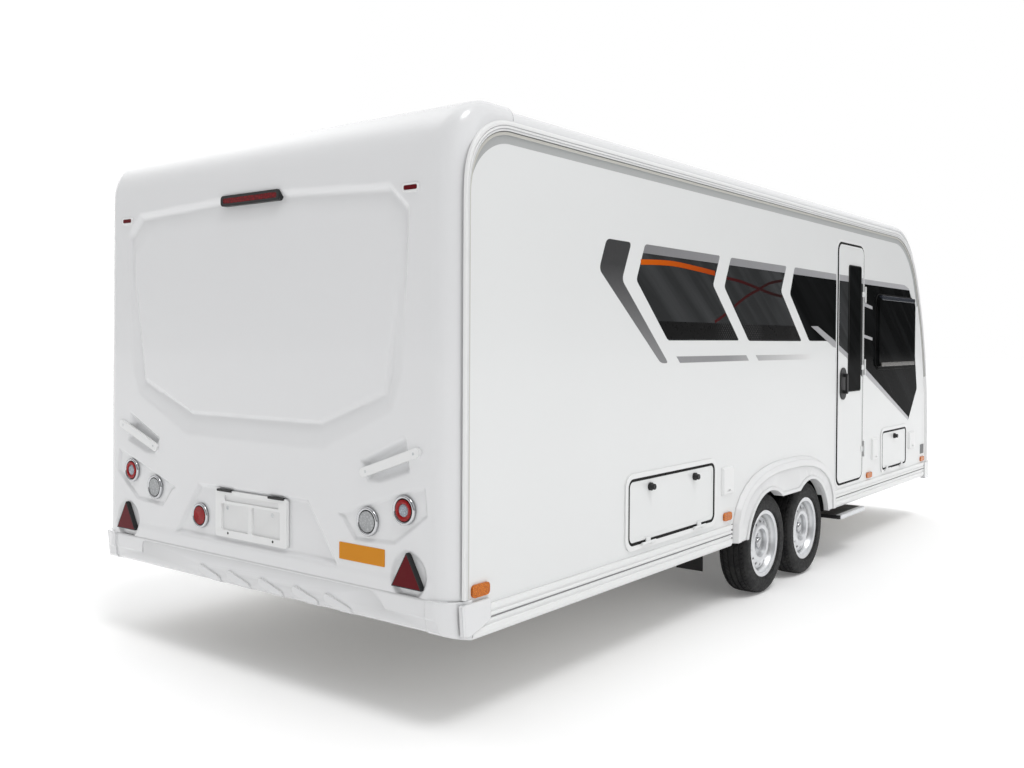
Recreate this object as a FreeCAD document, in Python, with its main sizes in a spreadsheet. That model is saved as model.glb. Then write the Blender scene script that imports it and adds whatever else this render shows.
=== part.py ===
import FreeCAD
import Part
import math
import os
import Sketcher
from FreeCAD import Placement, Rotation, Vector

# A twin-axle travel caravan. X points to the hitch, Y to the left, Z up.
# The origin is on the ground, on the centre plane, midway between the two axles.

os.makedirs("parts", exist_ok=True)
doc = FreeCAD.newDocument("caravan")

SIZES = [
    # Body shell
    ("body_width", 2500),
    ("rear_reach", 3330),
    ("front_reach", 3300),
    ("roof_height", 2548),
    ("moulding_rise", 14),
    ("wall_base", 503),
    ("wall_thick", 30),
    ("rear_thick", 45),
    ("rear_roof_radius", 254),
    ("front_roof_radius", 700),
    ("front_sweep_radius", 2900),
    ("front_sweep_start", 750),
    ("rear_corner_radius", 110),
    ("rear_shoulder_radius", 130),
    ("front_corner_radius", 165),
    ("roof_side_radius", 60),
    ("rear_seam", 373),
    ("front_seam", 1126),
    ("wall_inset_rear", 95),
    ("wall_inset_top", 138),
    ("wall_inset_front", 190),
    ("wall_rear_radius", 255),
    ("wall_front_radius", 620),
    ("rail_width_rear", 38),
    ("rail_width_top", 82),
    ("rail_proud", 14),
    ("bead_pitch", 20),
    ("bead_groove", 6),
    ("floor_thick", 42),
    ("floor_gap", 0.3),
    # Moulded rear panel
    ("recess_depth", 14),
    ("recess_half", 1010),
    ("recess_top_gap", 296),
    ("recess_base", 1085),
    ("recess_border", 25),
    ("pod_depth", 8),
    ("scoop_depth", 28),
    ("reflector_dish", 100),
    ("reflector_radius", 96),
    ("reflector_side", 1015),
    ("reflector_height", 622),
    ("dish_depth", 10),
    ("lamp_radius", 62),
    ("lamp_depth", 14),
    ("holder_width", 524),
    ("holder_height", 223),
    ("holder_base", 632),
    ("holder_thick", 16),
    # Rear bumper
    ("bumper_top", 543),
    ("bumper_base", 405),
    ("bumper_proud", 8),
    ("bumper_side", 3),
    ("bumper_wrap", 115),
    ("cap_proud", 8),
    ("cap_side", 6),
    ("insert_depth", 4),
    ("rib_width", 44),
    ("rib_proud", 7),
    # Sills and wheel arches
    ("sill_base", 378),
    ("sill_proud", 12),
    ("sill_thick", 20),
    ("arch_proud", 34),
    ("arch_top", 820),
    ("arch_half", 830),
    ("arch_clear", 25),
    ("arch_border", 46),
    ("arch_field", 9),
    ("arch_dip", 590),
    # Wheels and axles
    ("axle_spacing", 666),
    ("tyre_radius", 311),
    ("tyre_width", 185),
    ("rim_radius", 190.5),
    ("flange_radius", 207),
    ("wheel_inset", 0),
    ("hub_radius", 62),
    ("vent_radius", 9),
    ("axle_tube", 90),
    ("brake_radius", 125),
    ("axle_trail", 165),
    # Chassis
    ("rail_spread", 1360),
    ("rail_height", 150),
    ("rail_flange", 48),
    ("rail_wall", 4),
    ("rail_bend", 2350),
    ("overrun_width", 104),
    ("chassis_top", 502.7),
    ("member_spacing", 1500),
    ("ball_reach", 4470),
    ("ball_height", 430),
    ("ball_bore", 51),
    # Entrance door
    ("door_rear", 880),
    ("door_front", 1445),
    ("door_base", 532),
    ("door_head", 244),
    ("door_corner", 75),
    ("door_thick", 34),
    ("leaf_gap", 5),
    ("hinge_pin", 3),
    ("hinge_radius", 6.5),
    ("hinge_gap", 0.4),
    ("hinge_length", 120),
    ("pane_rear", 1110),
    ("pane_front", 1366),
    ("pane_base", 1215),
    ("pane_top", 2142),
    ("pane_corner", 18),
    # Locker doors
    ("locker_rear", -2042),
    ("locker_front", -1044),
    ("locker_base", 530),
    ("locker_top", 917),
    ("hatch_rear", 1890),
    ("hatch_front", 2585),
    ("hatch_base", 520),
    ("hatch_top", 884),
    ("service_rear", -2620),
    ("service_front", -2180),
    ("service_base", 600),
    ("service_top", 940),
    ("frame_width", 26),
    ("frame_proud", 7),
    ("locker_corner", 45),
    ("field_border", 30),
    ("field_depth", 1.5),
    # Windows
    ("window_rear", 1742),
    ("window_front", 2745),
    ("window_base", 1362),
    ("window_top", 1956),
    ("bed_window_rear", -2250),
    ("bed_window_front", -1150),
    ("bed_window_base", 1180),
    ("galley_window_rear", -250),
    ("galley_window_front", 750),
    ("galley_window_base", 1260),
    ("left_window_top", 1790),
    ("window_proud", 26),
    ("window_corner", 62),
    ("window_lap", 30),
    ("window_rim", 22),
    # Entry step
    ("step_rear", 880),
    ("step_front", 1420),
    ("step_height", 322),
    ("step_reach", 38),
    ("step_depth", 225),
    ("step_travel", 250),
    ("step_arm_inset", 60),
    # Front locker lid and window
    ("lid_width", 1300),
    ("lid_base", 640),
    ("lid_top", 1120),
    ("front_pane_width", 1700),
    ("front_pane_base", 1290),
    ("front_pane_top", 1900),
    # Jockey wheel
    ("jockey_setback", 380),
    ("jockey_gap", 12),
    ("jockey_radius", 100),
    ("jockey_width", 60),
    ("jockey_trail", 30),
]

sheet = doc.addObject("Spreadsheet::Sheet", "sizes")
for row, (alias, value) in enumerate(SIZES, start=1):
    sheet.set("A%d" % row, alias)
    sheet.set("B%d" % row, str(value))
    sheet.setAlias("B%d" % row, alias)
doc.recompute()


class Length:
    """A length in millimetres that keeps its formula on the sheet beside its number."""

    def __init__(self, number, formula):
        self.number = number
        self.formula = formula

    def __float__(self):
        return self.number

    def __neg__(self):
        return Length(-self.number, "(-%s)" % self.formula)

    def __add__(self, other):
        return joined(self, "+", other, self.number + float(other))

    def __radd__(self, other):
        return joined(other, "+", self, float(other) + self.number)

    def __sub__(self, other):
        return joined(self, "-", other, self.number - float(other))

    def __rsub__(self, other):
        return joined(other, "-", self, float(other) - self.number)

    def __mul__(self, other):
        return joined(self, "*", other, self.number * float(other))

    def __rmul__(self, other):
        return joined(other, "*", self, float(other) * self.number)

    def __truediv__(self, other):
        return joined(self, "/", other, self.number / float(other))

    def __lt__(self, other):
        return self.number < float(other)

    def __gt__(self, other):
        return self.number > float(other)


def formula_of(length):
    return length.formula if isinstance(length, Length) else "(%r)" % float(length)


def joined(first, sign, second, number):
    return Length(number, "(%s %s %s)" % (formula_of(first), sign, formula_of(second)))


def root(length):
    return Length(math.sqrt(length.number), "sqrt(%s)" % length.formula)


class Values:
    """Gives each driving size by its name."""

    def __getattr__(self, name):
        return Length(float(sheet.get(name)), "sizes.%s" % name)


v = Values()
nodes = []

half = v.body_width / 2
rear = -v.rear_reach
front = v.front_reach
axle_x = v.axle_spacing / 2
wheel_y = half - v.wheel_inset - v.tyre_width / 2
FAR = 400.0


# Objects whose sizes are tied to the sheet

def bind(item, prop, length):
    item.setExpression(prop, formula_of(length))


def place(item, x, y, z):
    for prop, length in zip(("Placement.Base.x", "Placement.Base.y", "Placement.Base.z"), (x, y, z)):
        bind(item, prop, length)
    return item


def block(x0, x1, y0, y1, z0, z1):
    item = doc.addObject("Part::Box", "block")
    bind(item, "Length", x1 - x0)
    bind(item, "Width", y1 - y0)
    bind(item, "Height", z1 - z0)
    return place(item, x0, y0, z0)


TURNS = {"x": Rotation(Vector(0, 1, 0), 90), "y": Rotation(Vector(1, 0, 0), -90), "z": Rotation()}


def rod(radius, axis, start, length):
    """A cylinder from a point along an axis."""
    item = doc.addObject("Part::Cylinder", "rod")
    bind(item, "Radius", radius)
    bind(item, "Height", length)
    item.Placement = Placement(Vector(), TURNS[axis])
    return place(item, *start)


def slanted_rod(radius, start, end):
    """A cylinder between two points."""
    reach = [b - a for a, b in zip(start, end)]
    item = doc.addObject("Part::Cylinder", "rod")
    bind(item, "Radius", radius)
    bind(item, "Height", root(sum((r * r for r in reach[1:]), reach[0] * reach[0])))
    heading = Vector(*[float(r) for r in reach])
    item.Placement = Placement(Vector(), Rotation(Vector(0, 0, 1), heading))
    return place(item, *start)


def shifted(point, axis, distance):
    """A point moved along an axis."""
    return tuple(c + distance if name == axis else c for name, c in zip("xyz", point))


def fuse(*pieces):
    item = doc.addObject("Part::MultiFuse", "joint")
    item.Shapes = list(pieces)
    item.Refine = True
    return item


def cut(base, *tools):
    for tool in tools:
        item = doc.addObject("Part::Cut", "trimmed")
        item.Base = base
        item.Tool = tool
        base = item
    return base


def common(base, tool):
    item = doc.addObject("Part::Common", "overlap")
    item.Base = base
    item.Tool = tool
    return item


def mirror(source):
    item = doc.addObject("Part::Mirroring", "mirrored")
    item.Source = source
    item.Normal = Vector(0, 1, 0)
    return item


def group(pieces):
    item = doc.addObject("Part::Compound", "set")
    item.Links = list(pieces)
    return item


def both(*pieces):
    """Pieces on the right side together with their mirror images."""
    return group(list(pieces) + [mirror(piece) for piece in pieces])


def publish(name, item):
    """Makes an object one of the caravan's sub-parts."""
    item.Label = name
    nodes.append(item)
    return item


# Outlines that a sketch can hold

def constrain(sketch, rows):
    """Adds constraints given as arguments, with the last one a length where it is tied to the sheet."""
    made = []
    for row in rows:
        made.append(Sketcher.Constraint(*[float(a) if isinstance(a, Length) else a for a in row]))
    numbers = sketch.addConstraint(made)
    for number, row in zip(numbers, rows):
        if isinstance(row[-1], Length):
            sketch.setExpression("Constraints[%d]" % number, row[-1].formula)


def line(a, b):
    return Part.LineSegment(Vector(a[0], a[1], 0), Vector(b[0], b[1], 0))


def arc(centre, radius, start, end):
    circle = Part.Circle(Vector(centre[0], centre[1], 0), Vector(0, 0, 1), radius)
    return Part.ArcOfCircle(circle, math.radians(start), math.radians(end))


def position(first, kind, length):
    """A constraint that gives one coordinate of the first end of an edge, or of a circle's centre."""
    edge, point = first
    if float(length) == 0:
        return ("PointOnObject", edge, point, -2 if kind == "DistanceX" else -1)
    return (kind, -1, 1, edge, point, length if isinstance(length, Length) else float(length))


def corners(points):
    """A closed outline through its corners."""
    def draw(sketch):
        base = sketch.GeometryCount
        count = len(points)
        flat = [(float(a), float(b)) for a, b in points]
        sketch.addGeometry([line(flat[i], flat[(i + 1) % count]) for i in range(count)])
        rows = [("Coincident", base + i, 2, base + (i + 1) % count, 1) for i in range(count)]
        for i, (a, b) in enumerate(points):
            rows.append(position((base + i, 1), "DistanceX", a))
            rows.append(position((base + i, 1), "DistanceY", b))
        constrain(sketch, rows)
    return draw


def rounded(a0, a1, b0, b1, radius):
    """A rectangle with four round corners."""
    def draw(sketch):
        base = sketch.GeometryCount
        left, right, low, high, r = [float(length) for length in (a0, a1, b0, b1, radius)]
        sketch.addGeometry([
            line((left + r, low), (right - r, low)), arc((right - r, low + r), r, 270, 360),
            line((right, low + r), (right, high - r)), arc((right - r, high - r), r, 0, 90),
            line((right - r, high), (left + r, high)), arc((left + r, high - r), r, 90, 180),
            line((left, high - r), (left, low + r)), arc((left + r, low + r), r, 180, 270)])
        rows = [("Tangent", base + i, 2, base + (i + 1) % 8, 1) for i in range(8)]
        rows += [("Horizontal", base), ("Vertical", base + 2), ("Horizontal", base + 4),
                 ("Vertical", base + 6)]
        rows += [("Equal", base + 1, base + i) for i in (3, 5, 7)]
        rows += [position((base, 1), "DistanceY", b0), position((base + 4, 1), "DistanceY", b1),
                 position((base + 2, 1), "DistanceX", a1), position((base + 6, 1), "DistanceX", a0),
                 ("Radius", base + 1, radius)]
        constrain(sketch, rows)
    return draw


def disc(a, b, radius):
    """A circle."""
    def draw(sketch):
        base = sketch.GeometryCount
        sketch.addGeometry([Part.Circle(Vector(float(a), float(b), 0), Vector(0, 0, 1), float(radius))])
        constrain(sketch, [position((base, 3), "DistanceX", a), position((base, 3), "DistanceY", b),
                           ("Radius", base, radius)])
    return draw


def strap(a0, b0, a1, b1, radius):
    """A straight bar with two round ends, between two centres."""
    def draw(sketch):
        base = sketch.GeometryCount
        x0, y0, x1, y1, r = [float(length) for length in (a0, b0, a1, b1, radius)]
        turn = math.degrees(math.atan2(y1 - y0, x1 - x0))
        side = Vector(math.cos(math.radians(turn + 90)), math.sin(math.radians(turn + 90)), 0) * r
        sketch.addGeometry([
            arc((x0, y0), r, turn + 90, turn + 270),
            line((x0 - side.x, y0 - side.y), (x1 - side.x, y1 - side.y)),
            arc((x1, y1), r, turn - 90, turn + 90),
            line((x1 + side.x, y1 + side.y), (x0 + side.x, y0 + side.y))])
        rows = [("Tangent", base + i, 2, base + (i + 1) % 4, 1) for i in range(4)]
        rows += [position((base, 3), "DistanceX", a0), position((base, 3), "DistanceY", b0),
                 position((base + 2, 3), "DistanceX", a1), position((base + 2, 3), "DistanceY", b1),
                 ("Radius", base, radius)]
        constrain(sketch, rows)
    return draw


def body_outline(x_rear, x_front, base_z, top, rear_radius, roof_radius, sweep_radius):
    """The side view of the body: a round rear corner and a long swept front."""
    def draw(sketch):
        base = sketch.GeometryCount
        x0, x1, low, high = [float(length) for length in (x_rear, x_front, base_z, top)]
        r_rear, r_roof, r_sweep = [float(a) for a in (rear_radius, roof_radius, sweep_radius)]
        start = float(v.front_sweep_start)
        reach = r_sweep - r_roof
        roof_x = x1 - r_sweep + math.sqrt(reach ** 2 - (high - r_roof - start) ** 2)
        meet = math.degrees(math.atan2(high - r_roof - start, roof_x - x1 + r_sweep))
        sketch.addGeometry([
            line((x0, low), (x1, low)), line((x1, low), (x1, start)),
            arc((x1 - r_sweep, start), r_sweep, 0, meet), arc((roof_x, high - r_roof), r_roof, meet, 90),
            line((roof_x, high), (x0 + r_rear, high)), arc((x0 + r_rear, high - r_rear), r_rear, 90, 180),
            line((x0, high - r_rear), (x0, low))])
        rows = [("Coincident", base, 2, base + 1, 1), ("Coincident", base + 6, 2, base, 1)]
        rows += [("Tangent", base + i, 2, base + i + 1, 1) for i in range(1, 6)]
        rows += [("Horizontal", base), ("Vertical", base + 1), ("Horizontal", base + 4),
                 ("Vertical", base + 6)]
        rows += [position((base + 1, 1), "DistanceX", x_front), position((base, 1), "DistanceY", base_z),
                 position((base + 2, 1), "DistanceY", v.front_sweep_start),
                 position((base + 4, 1), "DistanceY", top), position((base + 6, 1), "DistanceX", x_rear),
                 ("Radius", base + 2, sweep_radius), ("Radius", base + 3, roof_radius),
                 ("Radius", base + 5, rear_radius)]
        constrain(sketch, rows)
    return draw


# Bodies made from sketches

PLANES = {"xy": "XY_Plane", "xz": "XZ_Plane", "yz": "YZ_Plane"}


def sketch_in(body, plane, draw, low, high):
    """A sketch in one of the body's own planes, where its feature starts."""
    sketch = body.newObject("Sketcher::SketchObject", "outline")
    origin = next(item for item in body.Origin.OriginFeatures if item.Role == PLANES[plane])
    sketch.AttachmentSupport = [(origin, "")]
    sketch.MapMode = "FlatFace"
    bind(sketch, "AttachmentOffset.Base.z", 0 - high if plane == "xz" else low)
    draw(sketch)
    return sketch


def add(body, plane, draw, low, high):
    """A pad between two distances along the axis across its plane."""
    feature = body.newObject("PartDesign::Pad", "pad")
    feature.Profile = sketch_in(body, plane, draw, low, high)
    bind(feature, "Length", high - low)
    return body


def remove(body, plane, draw, low, high):
    """A pocket between two distances along the axis across its plane."""
    sketch = sketch_in(body, plane, draw, low, high)
    feature = body.newObject("PartDesign::Pocket", "pocket")
    feature.Profile = sketch
    feature.Reversed = True
    bind(feature, "Length", high - low)
    return body


def solid(plane, draw, low, high):
    return add(doc.addObject("PartDesign::Body", "body"), plane, draw, low, high)


def lofted(plane, outer_points, outer_at, inner_points, inner_at):
    """A body with straight sides between two outlines of as many corners."""
    body = doc.addObject("PartDesign::Body", "body")
    first = sketch_in(body, plane, corners(outer_points), outer_at, outer_at)
    second = sketch_in(body, plane, corners(inner_points), inner_at, inner_at)
    feature = body.newObject("PartDesign::AdditiveLoft", "loft")
    feature.Profile = first
    feature.Sections = [second]
    feature.Ruled = True
    return body


def turned(profiles, x, y, z, axis="y"):
    """A body turned round an axis through a point, from outlines of distance along and radius."""
    body = doc.addObject("PartDesign::Body", "body")
    for profile in profiles:
        plane = "yz" if axis == "y" else "xz"
        points = [(b, a) for a, b in profile] if axis == "y" else profile
        sketch = sketch_in(body, plane, corners(points), 0, 0)
        feature = body.newObject("PartDesign::Revolution", "revolution")
        feature.Profile = sketch
        feature.ReferenceAxis = (sketch, ["H_Axis" if axis == "y" else "V_Axis"])
        feature.Angle = 360
    return place(body, x, y, z)


def ring(points):
    """An outline's right half and its mirror image, as one list of corners."""
    return points + [(0 - a, b) for a, b in points[::-1]]


def hinge(axis, start, length):
    """The fixed knuckles with their pin, the turning knuckle, and the bore for the pin."""
    third = length / 3
    fixed = fuse(rod(v.hinge_radius, axis, start, third),
                 rod(v.hinge_radius, axis, shifted(start, axis, third * 2), third),
                 rod(v.hinge_pin, axis, start, length))
    bore = rod(v.hinge_pin + v.hinge_gap, axis, start, length)
    turning = cut(rod(v.hinge_radius, axis, shifted(start, axis, third + v.hinge_gap),
                      third - v.hinge_gap * 2), bore)
    return fixed, turning, bore


# Body shell

def hull(inset, rear_inset, base, rise=0):
    """The outside of the body, or its inside when the insets are a panel's thickness."""
    top = v.roof_height + rise - inset
    x_rear, x_front = rear + rear_inset, front - inset
    shape = solid("xz", body_outline(x_rear, x_front, base, top, v.rear_roof_radius - inset,
                                     v.front_roof_radius - inset, v.front_sweep_radius - inset),
                  inset - half, half - inset)
    rounding = doc.addObject("Part::Fillet", "rounded_hull")
    rounding.Base = shape
    doc.recompute()

    def radius_at(point):
        if point.x > float(x_front) - 1:
            return v.front_corner_radius - inset
        if point.x < float(x_rear) + 1:
            upper = point.z > float(top) / 2
            return (v.rear_shoulder_radius if upper else v.rear_corner_radius) - inset
        if point.z > float(top) - 1:
            return v.roof_side_radius - inset
        return (v.front_corner_radius + v.roof_side_radius) / 2 - inset
    chosen = []
    for number, edge in enumerate(shape.Shape.Edges, start=1):
        box = edge.BoundBox
        if box.YLength < 1 and box.ZMax > float(base) + 1:
            ends = [float(radius_at(vertex.Point)) for vertex in edge.Vertexes]
            chosen.append((number, ends[0], ends[-1]))
    rounding.Edges = chosen
    return rounding


def wall_outline(grow=0):
    """The flat side wall's outline, or one a step further out."""
    return body_outline(rear + v.wall_inset_rear - grow, front - v.wall_inset_front + grow, v.wall_base,
                        v.roof_height - v.wall_inset_top + grow, v.wall_rear_radius + grow,
                        v.wall_front_radius + grow, v.front_sweep_radius - v.wall_inset_front + grow)


outer = hull(0, 0, v.wall_base)
outer_rear = hull(0, 0, v.wall_base, v.moulding_rise)
inner = hull(v.wall_thick, v.rear_thick, v.wall_base - 60)
wall_block = solid("xz", wall_outline(), -half - 20, v.wall_thick + 0.2 - half)
wall_block_left = mirror(wall_block)
rear_cut = rear + v.rear_seam
front_cut = front - v.front_seam


def band(skin, x0, x1):
    """The part of the shell between two cross planes, without the side walls."""
    slab = block(x0, x1, -half - 50, half + 50, v.wall_base - 100, v.roof_height + 80)
    return cut(common(skin, slab), inner, wall_block, wall_block_left)


# Side walls with their openings

def arch_opening(body, low, high, clear):
    """Removes the double opening round the two wheels, with a dip between them."""
    reach = v.tyre_radius + clear
    for x in (-axle_x, axle_x):
        remove(body, "xz", disc(x, v.tyre_radius, reach), low, high)
    remove(body, "xz", corners([(-axle_x, 0), (axle_x, 0), (axle_x, v.arch_dip), (-axle_x, v.arch_dip)]),
           low, high)
    below = [(-axle_x - reach, 0), (axle_x + reach, 0), (axle_x + reach, v.tyre_radius),
             (-axle_x - reach, v.tyre_radius)]
    return remove(body, "xz", corners(below), low, high)


def inside(x0, x1, z0, z1, inset, radius):
    return rounded(x0 + inset, x1 - inset, z0 + inset, z1 - inset, radius)


door = (v.door_rear, v.door_front, v.door_base, v.roof_height - v.door_head)
rear_locker = (v.locker_rear, v.locker_front, v.locker_base, v.locker_top)
front_locker = (v.hatch_rear, v.hatch_front, v.hatch_base, v.hatch_top)
service_locker = (v.service_rear, v.service_front, v.service_base, v.service_top)
side_window = (v.window_rear, v.window_front, v.window_base, v.window_top)
left_windows = [
    (v.bed_window_rear, v.bed_window_front, v.bed_window_base, v.left_window_top),
    (v.galley_window_rear, v.galley_window_front, v.galley_window_base, v.left_window_top),
    side_window]


def side_wall(openings):
    """A flat wall on the right side with rounded openings and the wheel opening."""
    low, high = -half, v.wall_thick - half
    wall = solid("xz", wall_outline(), low, high)
    for edges, inset, radius in openings:
        remove(wall, "xz", inside(*edges, inset, radius), low, high)
    return arch_opening(wall, low, high, v.arch_clear)


right_openings = [(door, 0, v.door_corner), (rear_locker, v.frame_width, v.locker_corner),
                  (front_locker, v.frame_width, v.locker_corner),
                  (side_window, v.window_lap, v.window_corner)]
left_openings = [(service_locker, v.frame_width, v.locker_corner)]
left_openings += [(window, v.window_lap, v.window_corner) for window in left_windows]
publish("side_wall_right", side_wall(right_openings))
publish("side_wall_left", mirror(side_wall(left_openings)))
publish("roof_panel", band(outer, rear_cut, front_cut))


# Moulded rear panel: a wide recess, two scoops, lamp pods, reflector dishes and a plate pocket

recess_top = v.roof_height - v.recess_top_gap
brake_height = v.roof_height - v.recess_top_gap - 20
recess_floor = rear + v.recess_depth


def wide_recess():
    """The recess in the middle, with steep upper sides and a long soft slope along its base."""
    half_width, base, edge = v.recess_half, v.recess_base, v.recess_border
    rise = recess_top - base
    outside = [(half_width * 0.3, recess_top), (half_width - 140, recess_top - 27),
               (half_width, recess_top - 132), (half_width - 10, base + rise * 0.7),
               (half_width - 105, base + 245), (half_width - 150, base + 177), (half_width * 0.47, base)]
    floor = [(half_width * 0.3, recess_top - edge), (half_width - 150, recess_top - edge - 24),
             (half_width - edge, recess_top - edge - 122), (half_width - edge - 10, base + rise * 0.7),
             (half_width - edge - 117, base + 300), (half_width - edge - 150, base + 265),
             (half_width * 0.465, base + 137)]
    return lofted("yz", ring(outside), rear, ring(floor), recess_floor)


def scoop():
    """The hollow behind a pulling strap."""
    outside = [(735, 1091), (990, 1195), (1002, 1045), (850, 990), (788, 1000)]
    floor = [(778, 1084), (972, 1162), (982, 1062), (860, 1016), (820, 1022)]
    return lofted("yz", outside, rear, floor, rear + v.scoop_depth)


def lamp_pod():
    """The flat that two lamps stand on."""
    outside = [(585, 830), (1095, 990), (1105, 880), (930, 745), (705, 733), (628, 812)]
    floor = [(597, 829), (1090, 983), (1099, 882), (928, 751), (707, 739), (636, 814)]
    return lofted("yz", outside, rear, floor, rear + v.pod_depth)


def plate_pocket():
    """The pocket round the plate holder."""
    base = v.holder_base - 10
    top = v.holder_base + v.holder_height + 19
    outside = [(590, base), (395, top), (-395, top), (-590, base)]
    floor = [(562, base + 6), (380, top - 16), (-380, top - 16), (-562, base + 6)]
    return lofted("yz", outside, rear, floor, recess_floor)


def rear_panel():
    panel = band(outer_rear, rear - 50, rear_cut)
    below = block(rear - 50, rear_cut + 5, -half - 50, half + 50, 0, v.bumper_top)
    dish = rod(v.reflector_dish, "x", (rear - 5, v.reflector_side, v.reflector_height), v.dish_depth + 5)
    lamp_slot = block(rear - 20, recess_floor, -212, 212, brake_height - 23.5, brake_height + 23.5)
    tools = [below, wide_recess(), plate_pocket(), lamp_slot]
    for tool in (scoop(), lamp_pod(), dish):
        tools += [tool, mirror(tool)]
    return cut(panel, *tools)


publish("rear_panel", rear_panel())


# Front panel with its window and gas locker opening

def front_surface(z):
    """The x of the body's front at a height above the start of its sweep."""
    rise = z - v.front_sweep_start
    return front - v.front_sweep_radius + root(v.front_sweep_radius * v.front_sweep_radius - rise * rise)


def front_layer(distance_out, distance_in, tool):
    """A sheet that follows the swept front between two depths."""
    sheets = [solid("xz", body_outline(rear, front - depth, v.wall_base - 100, v.roof_height - depth,
                                       v.rear_roof_radius, v.front_roof_radius - depth,
                                       v.front_sweep_radius - depth), -half, half)
              for depth in (distance_out, distance_in)]
    return common(cut(*sheets), tool)


lid_half = v.lid_width / 2
pane_half = v.front_pane_width / 2


def front_panel():
    panel = band(outer, front_cut, front + 50)
    lap = v.window_lap
    window = solid("yz", rounded(lap - pane_half, pane_half - lap, v.front_pane_base + lap,
                                 v.front_pane_top - lap, 70), front - 600, front + 100)
    hatch = solid("yz", rounded(-lid_half, lid_half, v.lid_base, v.lid_top, 50), front - 300, front + 100)
    return cut(panel, window, hatch)


publish("front_panel", front_panel())


def lid_hinges():
    """Two hinges above the lid: their fixed halves, and their turning ones."""
    z = v.lid_top + 2
    x = front_surface(z) + v.hinge_radius + 1.5
    reach = v.hinge_length + 20
    fixed, turning = [], []
    for y in (v.lid_width * -0.3, v.lid_width * 0.3):
        still, moving, bore = hinge("y", (x, y - reach / 2, z), reach)
        plate = cut(block(x - 30, x, y - reach / 2, y + reach / 2, z + 1, z + 30), outer,
                    block(x - 30, x + 10, y - 25, y + 25, z - 20, z + 15))
        fixed.append(fuse(still, plate))
        flap = cut(block(x - 30, x - 1, y - 22, y + 22, z - 34, z - 2), outer, bore)
        turning += [moving, flap]
    return fixed, turning


lid_fixed, lid_turning = lid_hinges()
lid_tool = solid("yz", rounded(v.leaf_gap - lid_half, lid_half - v.leaf_gap, v.lid_base + v.leaf_gap,
                               v.lid_top - v.leaf_gap, 46), front - 300, front + 100)
publish("gas_locker_lid", fuse(front_layer(0, v.wall_thick, lid_tool), *lid_turning))
publish("lid_hinges", group(lid_fixed))
pane_tool = solid("yz", rounded(-pane_half, pane_half, v.front_pane_base, v.front_pane_top, 90),
                  front - 600, front + 100)
publish("front_window", front_layer(-8, 0, pane_tool))


# Edge rails that cover the joint between the walls and the mouldings

def edge_rail():
    """A rail with raised beads along the outline of the side wall."""
    wide = v.rail_width_top
    outline = body_outline(rear + v.wall_inset_rear - v.rail_width_rear,
                           front - v.wall_inset_front + wide - 8, v.wall_base,
                           v.roof_height - v.wall_inset_top + wide, v.wall_rear_radius + 35,
                           v.wall_front_radius + 60, v.front_sweep_radius - v.wall_inset_front + wide - 8)
    rail = cut(solid("xz", outline, -half - v.rail_proud, 20 - half),
               solid("xz", wall_outline(), -half - 60, 60 - half), outer, outer_rear,
               block(rear - 20, rear + 200, -half - 40, 40 - half, 0, v.bumper_top + 0.5))
    for number in (1, 2, 3):
        start = v.bead_pitch * number
        groove = cut(solid("xz", wall_outline(start), -half - 40, 5 - half - v.rail_proud),
                     solid("xz", wall_outline(start - v.bead_groove), -half - 60, 60 - half))
        rail = cut(rail, groove)
    return rail


publish("edge_rails", both(edge_rail()))


# Floor and inner wheel boxes

floor_side = half - v.wall_thick
floor_top = v.wall_base + v.floor_thick
arch_reach = axle_x + v.tyre_radius + v.arch_clear
well_inner = half - v.wheel_inset - v.tyre_width - 45
box_top = v.tyre_radius * 2 + 70


def floor_panel():
    plate = block(rear + v.rear_thick, front - v.wall_thick, -floor_side, floor_side, v.wall_base, floor_top)
    well = block(-arch_reach, arch_reach, -half - 10, -well_inner, v.wall_base - 5, floor_top + 5)
    return cut(common(plate, inner), well, mirror(well))


publish("floor_panel", floor_panel())


def wheel_box():
    """The moulded box over two wheels, open below and outwards."""
    skin = 5
    low = v.wall_base - FAR
    box = solid("xz", rounded(-arch_reach, arch_reach, low, box_top, 130), v.wall_thick - half, -well_inner)
    remove(box, "xz", rounded(skin - arch_reach, arch_reach - skin, low + skin, box_top - skin, 130 - skin),
           v.wall_thick - half, -well_inner - skin)
    return cut(box, block(-arch_reach - 10, arch_reach + 10, -half, 0, low - 10, v.wall_base))


# Wheel arch trims with a raised border and a lip round the wheels

def arch_ring(inset):
    """The broad outline of the trim, a squarish half oval drawn in by a border."""
    reach, base = v.arch_half - inset, v.sill_base + 12
    rise = v.arch_top - inset - base
    turns = [math.radians(degrees) for degrees in (0, 11, 22, 33, 44, 55, 66, 77, 84)]
    return ring([(reach * math.cos(turn) ** 0.78, base + rise * math.sin(turn) ** 0.78) for turn in turns])


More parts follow.
